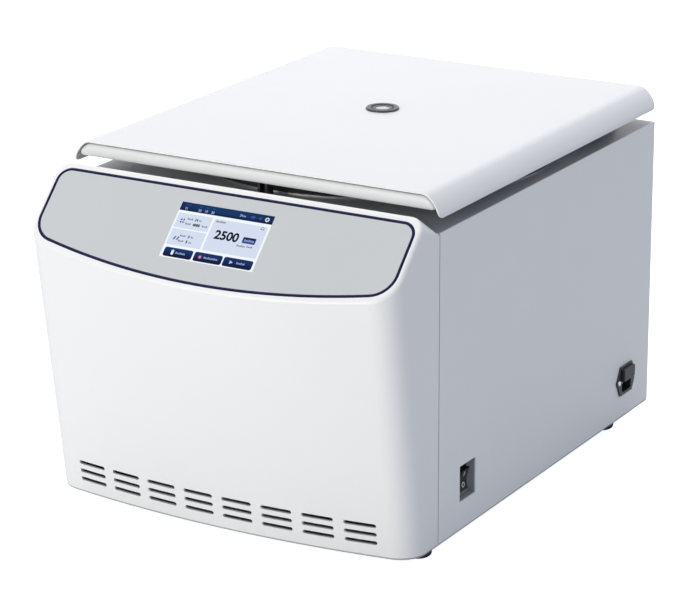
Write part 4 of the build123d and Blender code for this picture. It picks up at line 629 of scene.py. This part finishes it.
fields = {  # left, right, top, bottom, corner
    "screenBar": ((-56.4, 57.1, 26, 36, 0.3),),
    "screenPale": ((-54.6, -13, 39, 56.5, 1.2), (-54.6, -13, 58, 77, 1.2), (-10.5, 54.5, 39.5, 77, 1.2)),
    "screenNavy": ((-53.6, -18.6, 80, 90.8, 2.4), (-16.6, 17.6, 80, 90.8, 2.4), (19.2, 54.4, 80, 90.8, 2.4)),
    "screenBlue": ((31.2, 46.9, 54.6, 61.8, 1.0),),
    "screenDim": ((30.2, 34.8, 29.6, 32.4, 0.5),),
}
bars = {  # left, right, top, bottom of the rows of short blocks that stand for words
    "screenSoft": (
        (-39, -26.5, 84, 86.6), (-4.3, 12.5, 84, 86.5), (35.4, 46, 83.8, 86.3), (33.6, 45.6, 56.8, 59.4),
        (21, 25, 30.4, 32.4),
    ),
    "screenGrey": (
        (-41.7, -35.7, 43.6, 46), (-42.4, -34.8, 49.3, 51.7), (-42.2, -34.6, 63.8, 66.2),
        (-42.3, -35, 69.9, 72.3), (-7.6, 4.8, 40.8, 43.4), (27.2, 36.9, 64.2, 66.5), (39.2, 46.8, 63.8, 66.1),
        (-21.8, -15, 49.6, 51.8), (-27.5, -23.5, 44, 46), (-29, -25, 64.2, 66.4), (-29, -25, 70.4, 72.6),
    ),
    "screenDim": (
        (-50.5, -44.5, 28, 29.4), (-33, -29.8, 28.3, 29.5), (-25, -21.4, 28.3, 29.5),
        (-17.4, -14.6, 28, 29.3),
    ),
}
letters = {"width": 1.1, "gap": 0.6, "corner": 0.4, "heights": (1.0, 0.72, 0.72, 1.0, 0.72, 0.86, 0.72)}
numbers = {  # text, left, base line, height, width share, boldness
    "screenBlack": (
        ("2500", -3.2, 61.8, 9.9, 1.03, 0.45), ("24", -33, 46.2, 2.9, 1, 0.12),
        ("4000", -33.2, 52.1, 2.9, 1.05, 0.2), ("3", -32.8, 66.6, 3.1, 1, 0.2), ("5", -33, 72.8, 3.1, 1, 0.2),
    ),
    "screenSoft": (
        ("21", -50.2, 34.4, 2.6, 1, 0.1), ("20", -33.8, 34.4, 2.6, 1, 0.1), ("10", -25.9, 34.3, 2.6, 1, 0.1),
        ("30", -17.8, 34.5, 2.6, 1, 0.15), ("24", 16.4, 32.3, 2.6, 1, 0.1),
    ),
}


def cog(centre, tip, root, teeth):  # a toothed outline
    quarters = 4 * teeth
    steps = [math.radians(360 * (step + 0.5) / quarters) for step in range(quarters)]
    return [polar(centre, root if step % 4 in (1, 2) else tip, turn) for step, turn in enumerate(steps)]


gear = {"centre": (49.7, -31.2), "tip": 2.7, "root": 2.1, "hole": 1.3, "teeth": 8}
bell = {
    "centre": (48.6, -41.8), "outer": 1.7, "inner": 1.1, "foot": ((46.4, -43.6), (50.8, -43.6)),
    "hollow": ((47.4, -43.0), (49.8, -43.0)),
}
hand = {
    "palm": (-44.6, -41.6, 84.6, 88.2, 1.0), "fingers": ((-44.6, 82.6), (-43.5, 82.0), (-42.4, 82.6)),
    "width": 0.8, "low": 86.5, "corner": 0.39,
}
fanIcon = {
    "hub": (-47.1, -48.0), "turns": (20, 110, 200, 290), "sweep": 55, "near": 0.6, "far": 3.2, "lead": 3.5,
}
slash = {"lefts": (-49.4, -45.6), "width": 1.7, "lean": 1.7, "low": -70.6, "high": -66.6}
stop = {"centre": (-9.1, -85.4), "outer": 2.4, "inner": 1.1}
hoops = {  # outer and inner outlines of the same count
    "screenWhite": (
        cog(gear["centre"], gear["tip"], gear["root"], gear["teeth"]),
        ring(gear["centre"], gear["hole"], 4 * gear["teeth"]),
    ),
    "screenGrey": (
        arc(bell["centre"], bell["outer"], 0, 180, 12) + list(bell["foot"]),
        arc(bell["centre"], bell["inner"], 0, 180, 12) + list(bell["hollow"]),
    ),
}
plates = {
    "screenWhite": [block(*hand["palm"], 4)] + [
        block(left, left + hand["width"], top, hand["low"], hand["corner"], 4)
        for left, top in hand["fingers"]
    ],
    "screenPink": [ring(stop["centre"], stop["inner"], 20)],
    "screenSky": [((27, -83.2), (27, -87.4), (31, -85.3))],
    "screenRed": [ring(stop["centre"], stop["outer"], 28)],
    "screenDim": [((38.8, -30.9), (42.6, -32.8), (42.6, -29.2))] + [
        (
            polar(fanIcon["hub"], fanIcon["near"], math.radians(turn)),
            polar(fanIcon["hub"], fanIcon["far"], math.radians(turn)),
            polar(fanIcon["hub"], fanIcon["lead"], math.radians(turn + fanIcon["sweep"])),
        ) for turn in fanIcon["turns"]
    ] + [
        (
            (left, slash["low"]), (left + slash["width"], slash["low"]),
            (left + slash["width"] + slash["lean"], slash["high"]), (left + slash["lean"], slash["high"]),
        ) for left in slash["lefts"]
    ],
}
pitch = letters["width"] + letters["gap"]
for name, (tint, plateLayer, iconLayer) in tints.items():
    form = Form(name, onPanel)
    for left, right, top, bottom, corner in fields.get(name, ()):
        form.slab(block(left, right, top, bottom, corner), layers["sunk"], layers[plateLayer])
    for left, right, top, bottom in bars.get(name, ()):
        for index in range(round((right - left) / pitch)):
            start = left + index * pitch
            rise = (bottom - top) * letters["heights"][index % len(letters["heights"])]
            letter = block(start, start + letters["width"], bottom - rise, bottom, letters["corner"], 3)
            form.slab(letter, layers["sunk"], layers[plateLayer])
    for number in numbers.get(name, ()):
        form.figures(*number, layers["glass"], layers["top"])
    if name in hoops:
        form.hoop(*hoops[name], layers["glass"], layers[iconLayer])
    for plate in plates.get(name, ()):
        form.slab(plate, layers["glass"], layers[iconLayer])
    form.made(lit(name, **tint), "base", "screen")
print("screen drawn in", len(tints), "tints")

# daylight studio: a soft top light, a front light and a white surround
camera = {
    "place": (1.597054, -2.720642, 1.220095), "yaw": -0.53059, "pitch": 0.31487, "roll": -0.00353,
    "focal": 2960.33, "imageWidth": 700, "sensor": 36.0, "far": 30.0,
}
yaw, pitch, roll = camera["yaw"], camera["pitch"], camera["roll"]
ahead = Vector((math.sin(yaw) * math.cos(pitch), math.cos(yaw) * math.cos(pitch), -math.sin(pitch)))
across = Vector((math.cos(yaw), -math.sin(yaw), 0))
upward = across.cross(ahead)
across, upward = (
    math.cos(roll) * across + math.sin(roll) * upward,
    math.cos(roll) * upward - math.sin(roll) * across,
)
turned = Matrix((across, upward, -ahead)).transposed().to_4x4()
lens = bpy.data.cameras.new("camera")
lens.sensor_width = camera["sensor"]
lens.lens = camera["focal"] * camera["sensor"] / camera["imageWidth"]
lens.clip_end = camera["far"]
viewer = bpy.data.objects.new("camera", lens)
viewer.matrix_world = Matrix.Translation(camera["place"]) @ turned
bpy.context.scene.collection.objects.link(viewer)
bpy.context.scene.camera = viewer

lights = {
    "front": {
        "place": (-0.9, -3.4, 0.7), "aim": (0, 0, 0.2), "size": 2.4, "power": 82.6,
        "colour": (1, 0.957, 0.853),
    },
    "top": {
        "place": (-0.6, 1.0, 3.0), "aim": (0, 0, 0.3), "size": 2.6, "power": 53.7,
        "colour": (1, 0.965, 0.939),
    },
}
for name, light in lights.items():
    glow = bpy.data.lights.new(name, "AREA")
    glow.size = light["size"]
    glow.energy = light["power"]
    glow.color = light["colour"]
    lamp = bpy.data.objects.new(name, glow)
    gaze = Vector(light["aim"]) - Vector(light["place"])
    aimed = gaze.to_track_quat("-Z", "Y").to_matrix().to_4x4()
    lamp.matrix_world = Matrix.Translation(light["place"]) @ aimed
    bpy.context.scene.collection.objects.link(lamp)

world = bpy.data.worlds.new("studio")
bpy.context.scene.world = world
world.use_nodes = True
surround = Graph(world.node_tree)
rays = surround.node("ShaderNodeLightPath").socket.node.outputs
cameraRay, glossyRay, clearRay = [
    Wire(surround, rays[name]) for name in ("Is Camera Ray", "Is Glossy Ray", "Is Transmission Ray")
]
seen = surround.node(
    "ShaderNodeMath", {"operation": "ADD", "use_clamp": True}, {0: cameraRay + glossyRay, 1: clearRay}
)
surroundings = {"unseen": (0.917, 0.961, 1.065, 1), "seen": (1, 1, 1, 1), "dim": 0.5}
backdrop = world.node_tree.nodes["Background"]
surround.plug(backdrop.inputs["Strength"], surroundings["dim"] + seen * (1 - surroundings["dim"]))
surround.plug(backdrop.inputs["Color"], surround.node(
    "ShaderNodeMix", {"data_type": "RGBA"}, {0: seen, 6: surroundings["unseen"], 7: surroundings["seen"]}, 2
))

floorPlan = {
    "left": -9, "right": 9, "front": -6, "back": 14,
    "low": (0.71, 0.74, 0.78, 1), "high": (0.73, 0.76, 0.80, 1), "glow": 0.9,
}
ground = Paint("floorWhite", Roughness=0.9, Specular_IOR_Level=0.0, Emission_Strength=floorPlan["glow"])
ground.feed("Base Color", ground.mix(ground.noise(scale=3.0), floorPlan["low"], floorPlan["high"]))
ground.feed("Emission Color", ground.mix(
    ground.node("ShaderNodeLightPath", output="Is Camera Ray"), (0, 0, 0, 1), (1, 1, 1, 1)
))
left, right, front, back = [floorPlan[side] for side in ("left", "right", "front", "back")]
floorMesh = bpy.data.meshes.new("studioFloor")
floorMesh.from_pydata(
    [(left, front, 0), (right, front, 0), (right, back, 0), (left, back, 0)], [], [(0, 1, 2, 3)]
)
floorMesh.materials.append(ground.material)
floor = bpy.data.objects.new("studioFloor", floorMesh)
bpy.context.scene.collection.objects.link(floor)
bpy.context.scene.view_settings.view_transform = "Standard"
print("studio lit")
